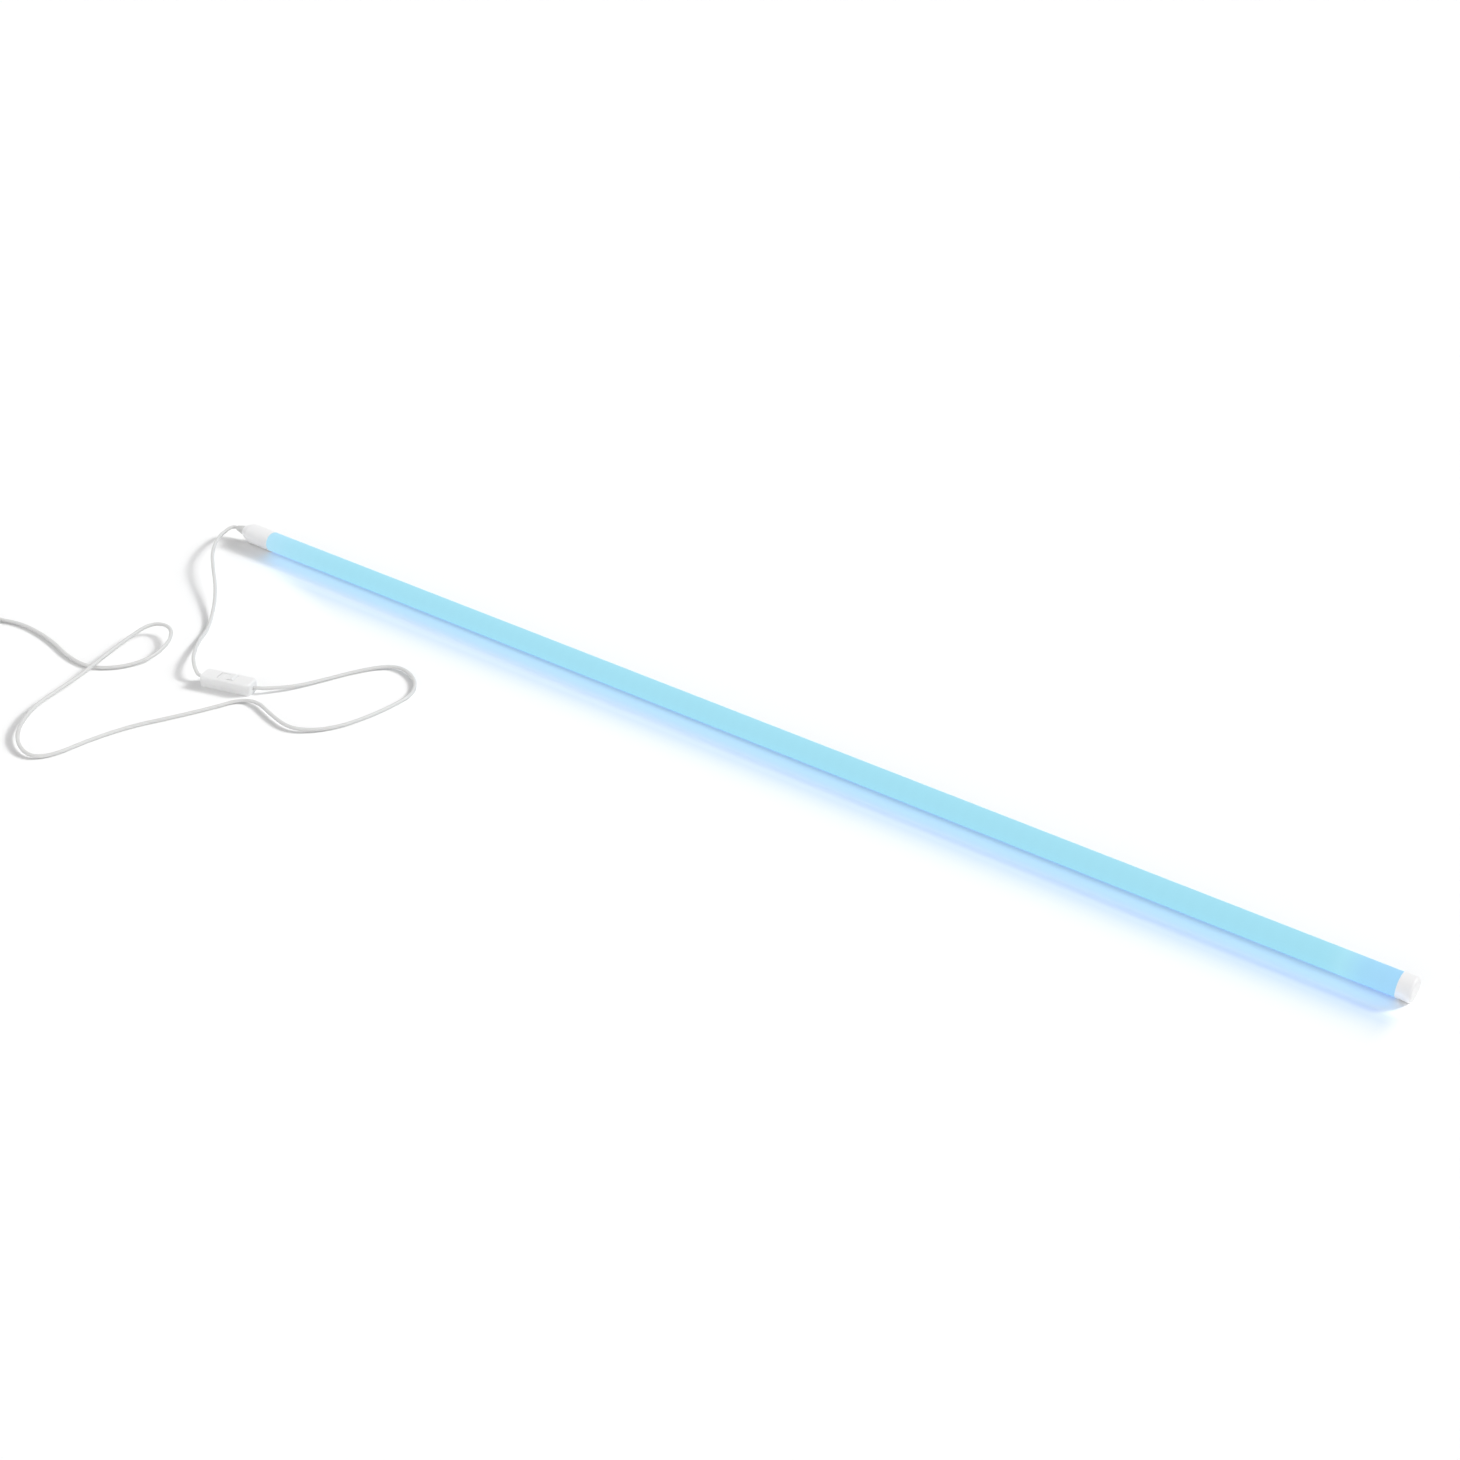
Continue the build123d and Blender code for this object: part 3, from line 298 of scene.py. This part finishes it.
# %% [markdown]
# ## Tools for the finishes
# Every finish is a small tree of nodes. One function turns a written colour into the linear values that
# light uses, and one adds a node with its settings and links, so that each finish reads as a list of what it
# holds. A Mix node keeps separate sockets for numbers, vectors and colours under the same names, so its
# colour sockets are picked by number.

# %% Colour and node tools
MIX_FROM = 6
MIX_TO = 7
MIX_RESULT = 2


def linear(hex_code):
    """Written sRGB colour as linear RGBA: a short straight part near black, and a power of 2.4 above it."""
    shares = [int(hex_code[i : i + 2], 16) / 255 for i in (1, 3, 5)]
    return [s / 12.92 if s <= 0.04045 else ((s + 0.055) / 1.055) ** 2.4 for s in shares] + [1.0]


def add_node(tree, kind, inputs=None, **settings):
    """Add a node with its own settings. inputs gives each socket a plain value or another node's output."""
    node = tree.nodes.new(kind)
    for name, value in settings.items():
        setattr(node, name, value)
    for socket, source in (inputs or {}).items():
        if isinstance(source, bpy.types.NodeSocket):
            tree.links.new(source, node.inputs[socket])
        else:
            node.inputs[socket].default_value = source
    return node


def start_finish(name):
    """New material with an empty tree and the surface's own coordinates in metres."""
    material = bpy.data.materials.new(name)
    material.use_nodes = True
    tree = material.node_tree
    tree.nodes.clear()
    place = add_node(tree, "ShaderNodeTexCoord").outputs["Object"]
    return material, tree, place


def fill_ramp(ramp, stops):
    """Set a colour ramp's stops, each a position from 0 to 1 and a written colour."""
    while len(ramp.elements) < len(stops):
        ramp.elements.new(1.0)
    for element, (position, colour) in zip(ramp.elements, stops):
        element.position = position
        element.color = linear(colour)


def per_mm(size):
    """Noise scale for a pattern of this size in millimetres, on coordinates in metres."""
    return 1.0 / (size * MM)


def dress(material, *names):
    """Give a material to every slot of these solids."""
    for name in names:
        slots = nodes[name].data.materials
        slots.clear()
        slots.append(material)


print("tools ready")

# %% [markdown]
# ## Moulded plastic
# Caps, switch and rocker are injection-moulded polycarbonate and ABS from a spark-eroded mould, which leaves
# a fine even grain: the eye sees a satin white that softens highlights. The grain itself is about 0.1 mm,
# far too fine for the picture, so it is drawn at 0.8 mm. A flat colour would look like paint, so the colour
# drifts a little over a few centimetres, as the melt does where it flows into the mould.


# %% Moulded plastic
def moulded(name, pale, deep, roughness, drift=45.0, grain=0.8, grain_depth=0.012, ior=1.55):
    """Satin moulded plastic: colour and roughness drift with a wide noise, and a fine noise raises the
    grain. drift, grain and grain_depth are in millimetres."""
    gloss_drift = 0.05
    material, tree, place = start_finish(name)
    wide = add_node(tree, "ShaderNodeTexNoise", {"Vector": place, "Scale": per_mm(drift), "Detail": 3.0})
    fine = add_node(tree, "ShaderNodeTexNoise", {"Vector": place, "Scale": per_mm(grain), "Detail": 2.0})
    colour = add_node(
        tree,
        "ShaderNodeMix",
        {"Factor": wide.outputs["Fac"], MIX_FROM: linear(deep), MIX_TO: linear(pale)},
        data_type="RGBA",
    )
    gloss = add_node(
        tree,
        "ShaderNodeMapRange",
        {"Value": wide.outputs["Fac"], "To Min": roughness - gloss_drift, "To Max": roughness + gloss_drift},
    )
    bump = add_node(
        tree,
        "ShaderNodeBump",
        {"Height": fine.outputs["Fac"], "Strength": 0.25, "Distance": grain_depth * MM},
    )
    shader = add_node(
        tree,
        "ShaderNodeBsdfPrincipled",
        {
            "Base Color": colour.outputs[MIX_RESULT],
            "Roughness": gloss.outputs["Result"],
            "Normal": bump.outputs["Normal"],
            "IOR": ior,
        },
    )
    add_node(tree, "ShaderNodeOutputMaterial", {"Surface": shader.outputs["BSDF"]})
    return material


white_polycarbonate = moulded("white_polycarbonate", "#F5F5F5", "#EEEEEF", 0.40)
white_switch_abs = moulded("white_switch_abs", "#F1F1F1", "#EBEBEB", 0.36, drift=25.0)
dress(white_polycarbonate, "cord_end_cap", "free_end_cap")
dress(white_switch_abs, "switch_base", "switch_cover", "switch_rocker")
print("moulded finishes:", white_polycarbonate.name, white_switch_abs.name)

# %% [markdown]
# ## Soft PVC
# Lead, strain relief and plug are plasticised PVC, extruded or moulded over the cores. It is softer to the
# eye than the hard mouldings: a broad low sheen, a slightly greyer white, and a faint waviness from the
# extruder's draw, drawn here at 6 mm along the cord. The coil's tie is natural nylon, a little yellower.

# %% Soft PVC
soft_pvc = moulded(
    "white_soft_pvc", "#DCDCDB", "#D5D5D4", 0.48, drift=30.0, grain=6.0, grain_depth=0.05, ior=1.53
)
dress(soft_pvc, "strain_relief", "plug_body")
dress(soft_pvc, "cord_to_switch", "cord_from_switch", "cord_coil", "cord_to_plug")
for lead in (lead_to_switch, lead_to_plug):
    lead.data.materials.append(soft_pvc)
nylon_tie = moulded("natural_nylon_tie", "#E6E4DC", "#DAD8CF", 0.42, drift=8.0)
dress(nylon_tie, "coil_tie")
print("PVC on", soft_pvc.users, "pieces")

# %% [markdown]
# ## The frosted tube
# The diffuser is extruded polycarbonate, 24 mm across with a 1.2 mm wall and two pairs of rails inside that
# hold the LED carrier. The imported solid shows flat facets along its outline, so the same section is carried
# along the axis here with a point every half degree. Outside it is a circle. Inside it is a circle too,
# unless a ray from the axis meets a rail first: then it stops at the rail's tip or at its upper face.

# %% Tube section
tube_low, tube_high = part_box("diffuser_tube")
tube_left, tube_right = tube_low.x, tube_high.x
tube_radius = (tube_high.z - tube_low.z) / 2
tube_axis = (tube_high.z + tube_low.z) / 2
tube_wall = 1.2 * MM
rail_tip = 7.82 * MM
rail_spans = ((-3.5 * MM, -2.6 * MM), (-6.0 * MM, -5.1 * MM))
least_slope = 1e-6


def inner_radius(angles):
    """Distance from the axis to the tube's inside: the least of the bore and, for each rail, the tip's plane
    where the ray passes between its faces, or the upper face where the ray comes down on it beyond the tip.
    The least slope keeps level and upright rays from dividing by nothing."""
    bore = tube_radius - tube_wall
    run = np.maximum(np.abs(np.cos(angles)), least_slope)
    rise = np.sin(angles)
    reach = np.full_like(angles, bore)
    at_tip = rail_tip / run
    for lower, upper in rail_spans:
        height_at_tip = at_tip * rise
        on_tip = (height_at_tip >= lower) & (height_at_tip <= upper)
        on_top = (height_at_tip > upper) & (rise < 0.0)
        down_to_top = np.where(on_top, upper / np.minimum(rise, -least_slope), bore)
        reach = np.minimum(reach, np.where(on_tip, at_tip, np.where(on_top, down_to_top, bore)))
    return reach


section_points = 720
section_angles = np.linspace(0.0, 2 * np.pi, section_points, endpoint=False)
outside = np.full_like(section_angles, tube_radius)
inside = inner_radius(section_angles)
print("inside of the tube from", round(inside.min() / MM, 2), "to", round(inside.max() / MM, 2), "mm")

# %% [markdown]
# ## Skin of the tube
# A tube could be an extruded curve, but its ends would have sharp rims. Here six rings of points go once
# round the wall: along the outside with a small chamfer at each rim, then back along the inside. A grid that
# closes on itself both ways skins them.

# %% Tube skin
rim_chamfer = 0.15 * MM
sharp_from = math.radians(35.0)


def tube_ring(station, reach):
    """Ring of points at this station along the tube: its y and z are the distance from the axis times the
    cosine and sine of the section's angles."""
    across = reach * np.cos(section_angles)
    up = tube_axis + reach * np.sin(section_angles)
    return np.column_stack([np.full_like(reach, station), across, up])


def skin_grid(name, grid):
    """Mesh object from a grid of points that closes on itself both ways, with one quad between each four
    points."""
    rows, columns = grid.shape[:2]
    index = np.arange(rows * columns).reshape(rows, columns)
    below = np.roll(index, -1, axis=0)
    corners = [index, np.roll(index, -1, axis=1), np.roll(below, -1, axis=1), below]
    quads = np.stack(corners, axis=-1).reshape(-1, 4)
    mesh = bpy.data.meshes.new(name)
    mesh.from_pydata(grid.reshape(-1, 3), [], quads)
    mesh.shade_smooth()
    mesh.set_sharp_from_angle(angle=sharp_from)
    piece = bpy.data.objects.new(name, mesh)
    scene.collection.objects.link(piece)
    return piece


tube_rings = [
    tube_ring(tube_left, outside - rim_chamfer),
    tube_ring(tube_left + rim_chamfer, outside),
    tube_ring(tube_right - rim_chamfer, outside),
    tube_ring(tube_right, outside - rim_chamfer),
    tube_ring(tube_right, inside),
    tube_ring(tube_left, inside),
]
frosted_tube = skin_grid("frosted_tube", np.stack(tube_rings))
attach(frosted_tube, "lamp")
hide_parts("diffuser_tube")
print("frosted tube:", len(frosted_tube.data.polygons), "faces")

# %% [markdown]
# ## Light in the tube
# Behind the frosted wall sit LEDs on a board that faces up. The wall scatters their light so well that the
# tube glows as one even band of pale blue, a little paler at the cord end, with the last LED's spot near the
# free end and a bluer stretch beyond it. Below the board's edge the wall gets less, which leaves a darker
# blue line along the lower edge. The LEDs, 15 mm apart, show as the faintest ripple. Tracing light through a
# scattering wall is slow and noisy, so the wall is written as what the eye sees: a dark matt surface that
# gives off light of its own.

# %% Glow of the tube
led_pitch = 15.0
led_ripple = 0.004
dark_edge_share = 0.88
lit_wall_share = 0.58
glow_stops = [
    (0.0, "#AADAEF"),
    (0.03, "#A0D8EB"),
    (0.10, "#9AD7E9"),
    (0.955, "#98D6E8"),
    (0.966, "#A0DAEB"),
    (0.978, "#99D0EE"),
    (1.0, "#99CDF0"),
]
frosted_polycarbonate, tree, place = start_finish("lit_frosted_polycarbonate")
axes = add_node(tree, "ShaderNodeSeparateXYZ", {"Vector": place})
along = add_node(
    tree,
    "ShaderNodeMapRange",
    {"Value": axes.outputs["X"], "From Min": tube_left, "From Max": tube_right},
)
glow_colour = add_node(tree, "ShaderNodeValToRGB", {"Fac": along.outputs["Result"]})
fill_ramp(glow_colour.color_ramp, glow_stops)
height = add_node(
    tree,
    "ShaderNodeMapRange",
    {
        "Value": axes.outputs["Z"],
        "From Min": tube_axis - dark_edge_share * tube_radius,
        "From Max": tube_axis - lit_wall_share * tube_radius,
    },
    interpolation_type="SMOOTHSTEP",
)
edge_tint = add_node(
    tree,
    "ShaderNodeMix",
    {"Factor": height.outputs["Result"], MIX_FROM: linear("#CDD6FF"), MIX_TO: linear("#FFFFFF")},
    data_type="RGBA",
)
edged_glow = add_node(
    tree,
    "ShaderNodeMix",
    {"Factor": 1.0, MIX_FROM: glow_colour.outputs["Color"], MIX_TO: edge_tint.outputs[MIX_RESULT]},
    data_type="RGBA",
    blend_type="MULTIPLY",
)
ripple_angle = add_node(
    tree,
    "ShaderNodeMath",
    {0: axes.outputs["X"], 1: 2 * math.pi / (led_pitch * MM)},
    operation="MULTIPLY",
)
ripple = add_node(tree, "ShaderNodeMath", {0: ripple_angle.outputs[0]}, operation="SINE")
ripple_share = add_node(
    tree,
    "ShaderNodeMath",
    {0: ripple.outputs[0], 1: led_ripple, 2: 1.0},
    operation="MULTIPLY_ADD",
)
print("glow over", round((tube_right - tube_left) / MM), "mm in", len(glow_stops), "stops")

# %% [markdown]
# ## Frost on the wall
# The polycarbonate's frost comes from a diffusing powder in the melt. It gives the eye a dull surface with
# almost no highlight. Its grain is far too fine for the picture, so it is drawn at 1.2 mm.

# %% Frosted polycarbonate
frost_grain = 1.2
frost_depth = 0.02
frost = add_node(tree, "ShaderNodeTexNoise", {"Vector": place, "Scale": per_mm(frost_grain), "Detail": 2.0})
frost_bump = add_node(
    tree,
    "ShaderNodeBump",
    {"Height": frost.outputs["Fac"], "Strength": 0.2, "Distance": frost_depth * MM},
)
frost_colour = add_node(
    tree,
    "ShaderNodeMix",
    {"Factor": frost.outputs["Fac"], MIX_FROM: linear("#3E4A50"), MIX_TO: linear("#424F55")},
    data_type="RGBA",
)
frosted_wall = add_node(
    tree,
    "ShaderNodeBsdfPrincipled",
    {
        "Base Color": frost_colour.outputs[MIX_RESULT],
        "Roughness": 0.62,
        "IOR": 1.58,
        "Specular IOR Level": 0.12,
        "Emission Color": edged_glow.outputs[MIX_RESULT],
        "Emission Strength": ripple_share.outputs[0],
        "Normal": frost_bump.outputs["Normal"],
    },
)
add_node(tree, "ShaderNodeOutputMaterial", {"Surface": frosted_wall.outputs["BSDF"]})
frosted_tube.data.materials.append(frosted_polycarbonate)
dress(frosted_polycarbonate, "diffuser_tube")
print("tube finish:", frosted_polycarbonate.name)

# %% [markdown]
# ## Metals
# The carrier is plain extruded aluminium with fine lines along the draw. The plug's pins are turned brass
# with a thin nickel plate, the contacts are stamped brass, and screws, pin and spring are zinc-plated steel.
# All are metals with lines or mottling that break up the reflection, so one finish with a stretched noise
# serves them all.


# %% Metals
def worked_metal(name, pale, deep, roughness, line_width, line_length):
    """Metal with tool lines: a noise stretched along x sets colour, roughness and a slight bump. The lines'
    width and length are in millimetres."""
    gloss_drift = 0.08
    line_depth = 0.02
    material, tree, place = start_finish(name)
    stretched = add_node(
        tree,
        "ShaderNodeMapping",
        {"Vector": place, "Scale": (per_mm(line_length), per_mm(line_width), per_mm(line_width))},
    )
    lines = add_node(
        tree,
        "ShaderNodeTexNoise",
        {"Vector": stretched.outputs[0], "Scale": 1.0, "Detail": 3.0},
    )
    colour = add_node(
        tree,
        "ShaderNodeMix",
        {"Factor": lines.outputs["Fac"], MIX_FROM: linear(deep), MIX_TO: linear(pale)},
        data_type="RGBA",
    )
    gloss = add_node(
        tree,
        "ShaderNodeMapRange",
        {"Value": lines.outputs["Fac"], "To Min": roughness - gloss_drift, "To Max": roughness + gloss_drift},
    )
    bump = add_node(
        tree,
        "ShaderNodeBump",
        {"Height": lines.outputs["Fac"], "Strength": 0.15, "Distance": line_depth * MM},
    )
    shader = add_node(
        tree,
        "ShaderNodeBsdfPrincipled",
        {
            "Base Color": colour.outputs[MIX_RESULT],
            "Metallic": 1.0,
            "Roughness": gloss.outputs["Result"],
            "Normal": bump.outputs["Normal"],
        },
    )
    add_node(tree, "ShaderNodeOutputMaterial", {"Surface": shader.outputs["BSDF"]})
    return material


aluminium = worked_metal("extruded_aluminium", "#E2E3E4", "#CFD1D3", 0.42, line_width=0.5, line_length=60.0)
nickel = worked_metal("nickel_plated_brass", "#D9D4C8", "#C6C0B0", 0.26, line_width=0.4, line_length=0.6)
brass = worked_metal("stamped_brass", "#E0C27A", "#C9A655", 0.34, line_width=0.5, line_length=4.0)
zinc = worked_metal("zinc_plated_steel", "#C9CBCE", "#B4B7BB", 0.36, line_width=0.6, line_length=1.5)
dress(aluminium, "led_carrier")
dress(nickel, "plug_pins")
dress(brass, "contact_bridge", "input_contact", "output_contact")
dress(zinc, "switch_screws", "rocker_pin", "rocker_spring")
print("metals:", aluminium.name, nickel.name, brass.name, zinc.name)

# %% [markdown]
# ## Boards and small parts
# Inside the tube and the cord cap sit a white LED board, the LEDs with their yellow phosphor, a brown
# paper-laminate driver board, and its parts. They can't be seen through the lit wall, but each has its own
# finish, because the lamp may be shown taken apart. All of them are plastics, lacquers or sintered powder,
# so the moulded finish serves with other colours, grain and gloss.

# %% Boards and small parts
solder_mask = moulded("white_solder_mask", "#F0F1EC", "#E6E8E2", 0.28, drift=12.0)
phosphor = moulded("phosphor_gel", "#F6E39A", "#EBCF6C", 0.22, drift=1.5, grain=0.4)
epoxy = moulded("black_moulded_epoxy", "#2A2A2C", "#1D1D1F", 0.5, drift=4.0, grain=0.5, grain_depth=0.03)
pin_sleeve = moulded("black_pin_sleeve", "#262627", "#1C1C1D", 0.44, drift=5.0)
laminate = moulded("paper_laminate", "#B98D56", "#A3763F", 0.46, drift=3.0, grain=0.6, grain_depth=0.03)
shrink_sleeve = moulded("dark_shrink_sleeve", "#2A3050", "#20263F", 0.24, drift=6.0)
ferrite = moulded("sintered_ferrite", "#55565A", "#3F4044", 0.6, drift=2.0, grain=0.5, grain_depth=0.05)
lacquer = moulded("green_lacquer", "#5C8C80", "#477468", 0.22, drift=2.0)
dress(solder_mask, "led_board")
dress(phosphor, "led_chips")
dress(epoxy, "board_resistors", "bridge_rectifier")
dress(pin_sleeve, "plug_sleeves")
dress(laminate, "driver_board")
dress(shrink_sleeve, "smoothing_capacitor")
dress(ferrite, "driver_choke")
dress(lacquer, "fuse_resistor")
print("boards and small parts dressed")

# %% [markdown]
# ## Core insulation
# The cores of a lead wear thin coloured PVC: brown for live, blue for neutral, and red and black on the
# low-voltage side. Extruded PVC of this kind is smooth and shiny.

# %% Core insulation
core_colours = {
    "brown": ("#6E4A30", "#5A3A24", ("live_core", "input_wire", "output_wire")),
    "blue": ("#2F5FB4", "#264E9A", ("neutral_core", "through_wire")),
    "red": ("#C8302A", "#AD2520", ("positive_lead",)),
    "black": ("#2B2B2B", "#1F1F1F", ("negative_lead",)),
}
for colour_name, (pale, deep, cores) in core_colours.items():
    dress(moulded(colour_name + "_core_pvc", pale, deep, 0.34, drift=5.0, grain=1.5), *cores)
print("core colours:", ", ".join(core_colours))

# %% [markdown]
# ## Floor
# The lamp lies on white card: matt, with a faint cloudiness in its whiteness. A floor could be a very large
# plane alone, and that is all it needs here, because nothing of it shows but light and shadow.

# %% Floor
floor_half = 30.0
floor_mesh = bpy.data.meshes.new("white_floor")
floor_corners = np.array([(-1, -1, 0), (1, -1, 0), (1, 1, 0), (-1, 1, 0)]) * floor_half
floor_mesh.from_pydata(floor_corners, [], [(0, 1, 2, 3)])
floor = bpy.data.objects.new("white_floor", floor_mesh)
scene.collection.objects.link(floor)
print("floor", 2 * floor_half, "m across")

# %% [markdown]
# ## Painted glow on the card
# Beside the lit tube the card turns blue, and the blue fades out over some 80 mm. On a card that already
# renders white, added light can't show, because it only makes white whiter. So the tube's blue glow and the
# soft shade along its front are painted into the card's colour: a ramp over the distance in front of the tube
# takes red and green away. It starts on a slant at the cord end, where the tube's light thins out, and ends
# just past the tube at the other.

# %% Painted glow
painted_glow_direction = (0.004, -1.0, 0.0)
painted_glow_reach = 100.0 * MM
painted_glow_slant = (1.0, 2.6, 0.0)
painted_glow_start = (tube_left - 90.0 * MM, tube_left + 10.0 * MM)
painted_glow_end = (tube_right, tube_right + 20.0 * MM)
painted_glow_stops = [
    (0.28, "#FFFFFF"),
    (0.36, "#E3ECFF"),
    (0.45, "#DFE9FF"),
    (0.55, "#EBF2FF"),
    (0.65, "#F4F8FF"),
    (0.76, "#FAFCFF"),
    (0.95, "#FFFFFF"),
]
white_card, tree, place = start_finish("matt_white_card")
distance = add_node(tree, "ShaderNodeVectorMath", {0: place, 1: painted_glow_direction}, operation="DOT_PRODUCT")
painted_glow_share = add_node(
    tree,
    "ShaderNodeMapRange",
    {"Value": distance.outputs["Value"], "From Max": painted_glow_reach},
)
painted_glow = add_node(tree, "ShaderNodeValToRGB", {"Fac": painted_glow_share.outputs["Result"]})
fill_ramp(painted_glow.color_ramp, painted_glow_stops)
slanted = add_node(tree, "ShaderNodeVectorMath", {0: place, 1: painted_glow_slant}, operation="DOT_PRODUCT")
after_start = add_node(
    tree,
    "ShaderNodeMapRange",
    {"Value": slanted.outputs["Value"], "From Min": painted_glow_start[0], "From Max": painted_glow_start[1]},
    interpolation_type="SMOOTHSTEP",
)
card_axes = add_node(tree, "ShaderNodeSeparateXYZ", {"Vector": place})
past_end = add_node(
    tree,
    "ShaderNodeMapRange",
    {"Value": card_axes.outputs["X"], "From Min": painted_glow_end[0], "From Max": painted_glow_end[1]},
    interpolation_type="SMOOTHSTEP",
)
painted_glow_span = add_node(
    tree,
    "ShaderNodeMath",
    {0: after_start.outputs["Result"], 1: past_end.outputs["Result"]},
    operation="SUBTRACT",
    use_clamp=True,
)
print("wash reaches", round(painted_glow_reach / MM), "mm")

# %% White card
cloud_size = 400.0
cloudiness = add_node(
    tree,
    "ShaderNodeTexNoise",
    {"Vector": place, "Scale": per_mm(cloud_size), "Detail": 2.0},
)
card_colour = add_node(
    tree,
    "ShaderNodeMix",
    {"Factor": cloudiness.outputs["Fac"], MIX_FROM: linear("#F9F9F9"), MIX_TO: linear("#FBFBFB")},
    data_type="RGBA",
)
# Painted blue glow and soft shade of the tube's light: the ramp multiplies the card's colour beside the tube.
glow_painted_colour = add_node(
    tree,
    "ShaderNodeMix",
    {
        "Factor": painted_glow_span.outputs[0],
        MIX_FROM: card_colour.outputs[MIX_RESULT],
        MIX_TO: painted_glow.outputs["Color"],
    },
    data_type="RGBA",
    blend_type="MULTIPLY",
)
card = add_node(tree, "ShaderNodeBsdfDiffuse", {"Color": glow_painted_colour.outputs[MIX_RESULT]})
add_node(tree, "ShaderNodeOutputMaterial", {"Surface": card.outputs["BSDF"]})
floor_mesh.materials.append(white_card)
print("floor finish:", white_card.name)

# %% [markdown]
# ## Studio light
# The shadows tell where the light stands: behind the lamp, well towards its free end, and about 31 degrees
# up. Their edges have a core and a soft skirt, so two suns light the floor from there, a narrow one and a
# wide one. The lamp's own shading looks as if lit from higher up: the caps are brightest on top. So both
# floor suns are linked to the floor alone, and a third sun, higher, to everything else. A lamp lit by the
# floor's suns would lose its shading in white. A wide weak light from the front opens the shaded sides, and
# the white surroundings do the rest.


# %% Suns
def add_sun(name, energy, softness, height, turn):
    """Parallel light of this strength and angular width, from this height above the floor. A turn of 0 comes
    from behind the lamp, and a positive turn moves the light to the lamp's free end."""
    sun_data = bpy.data.lights.new(name, "SUN")
    sun_data.energy = energy
    sun_data.angle = math.radians(softness)
    sun = bpy.data.objects.new(name, sun_data)
    sun.rotation_euler = (math.radians(height - 90.0), 0.0, math.radians(-turn))
    scene.collection.objects.link(sun)
    return sun


def share_floor(sun, name, state):
    """Link a light to the floor alone (INCLUDE) or to everything but the floor (EXCLUDE)."""
    receivers = bpy.data.collections.new(name)
    receivers.objects.link(floor)
    receivers.collection_objects[0].light_linking.link_state = state
    sun.light_linking.receiver_collection = receivers


floor_key = add_sun("key_on_floor", energy=1.6, softness=9.0, height=31.0, turn=40.5)
wide_floor_key = add_sun("wide_key_on_floor", energy=1.7, softness=32.0, height=31.0, turn=40.5)
lamp_key = add_sun("key_on_lamp", energy=1.8, softness=18.0, height=55.0, turn=45.0)
front_fill = add_sun("front_fill", energy=1.0, softness=60.0, height=12.0, turn=185.0)
share_floor(floor_key, "floor_for_key", "INCLUDE")
share_floor(wide_floor_key, "floor_for_wide_key", "INCLUDE")
share_floor(lamp_key, "all_but_floor", "EXCLUDE")
print("suns:", floor_key.name, wide_floor_key.name, lamp_key.name, front_fill.name)

# %% [markdown]
# ## Surroundings
# All round the lamp is white. To the camera and in reflections it is plain white, and as light it is dimmer,
# so that the light on the lamp adds up to a plain level and its colours render as they are written.

# %% Surroundings
level_as_light = 0.45
level_as_seen = 1.0
surroundings = bpy.data.worlds.new("white_surroundings")
scene.world = surroundings
surroundings.use_nodes = True
tree = surroundings.node_tree
tree.nodes.clear()
ray = add_node(tree, "ShaderNodeLightPath")
seen_or_mirrored = add_node(
    tree,
    "ShaderNodeMath",
    {0: ray.outputs["Is Camera Ray"], 1: ray.outputs["Is Glossy Ray"]},
    operation="MAXIMUM",
)
seen = add_node(
    tree,
    "ShaderNodeMath",
    {0: seen_or_mirrored.outputs[0], 1: ray.outputs["Is Transmission Ray"]},
    operation="MAXIMUM",
)
level = add_node(
    tree,
    "ShaderNodeMapRange",
    {"Value": seen.outputs[0], "To Min": level_as_light, "To Max": level_as_seen},
)
white_sky = add_node(
    tree,
    "ShaderNodeBackground",
    {"Color": linear("#FFFFFF"), "Strength": level.outputs["Result"]},
)
add_node(tree, "ShaderNodeOutputWorld", {"Surface": white_sky.outputs["Background"]})
print("surroundings:", surroundings.name)

# %% [markdown]
# ## Blue light on the floor
# In the shadow along its front the lit tube colours the floor blue. The tube's own light, kept at a level
# that renders its colour, is too weak for that, so a narrow strip of blue light stands in for it just in
# front of the tube. It reaches a little past the tube's free end, where the cap's shadow is blue too.

# %% Tube light
strip_left = tube_left + 10.0 * MM
strip_right = tube_right + 6.0 * MM
strip_width = 12.0 * MM
strip_gap = 1.5 * MM
strip_height = 15.0 * MM
strip_tilt = math.radians(-58.0)
strip_data = bpy.data.lights.new("tube_light", "AREA")
strip_data.shape = "RECTANGLE"
strip_data.size = strip_right - strip_left
strip_data.size_y = strip_width
strip_data.color = (0.10, 0.49, 1.0)
strip_data.energy = 0.135
strip = bpy.data.objects.new("tube_light", strip_data)
strip.location = ((strip_left + strip_right) / 2, -(tube_radius + strip_gap), strip_height)
strip.rotation_euler = (strip_tilt, 0.0, 0.0)
strip.visible_camera = False
strip.visible_glossy = False
scene.collection.objects.link(strip)
print("tube light", round(strip_data.size, 3), "m long")

# %% [markdown]
# ## Last update
# The looks must not change the lamp's size. Once everything is made, the scene is brought up to date.

# %% Update the scene
bpy.context.view_layer.update()
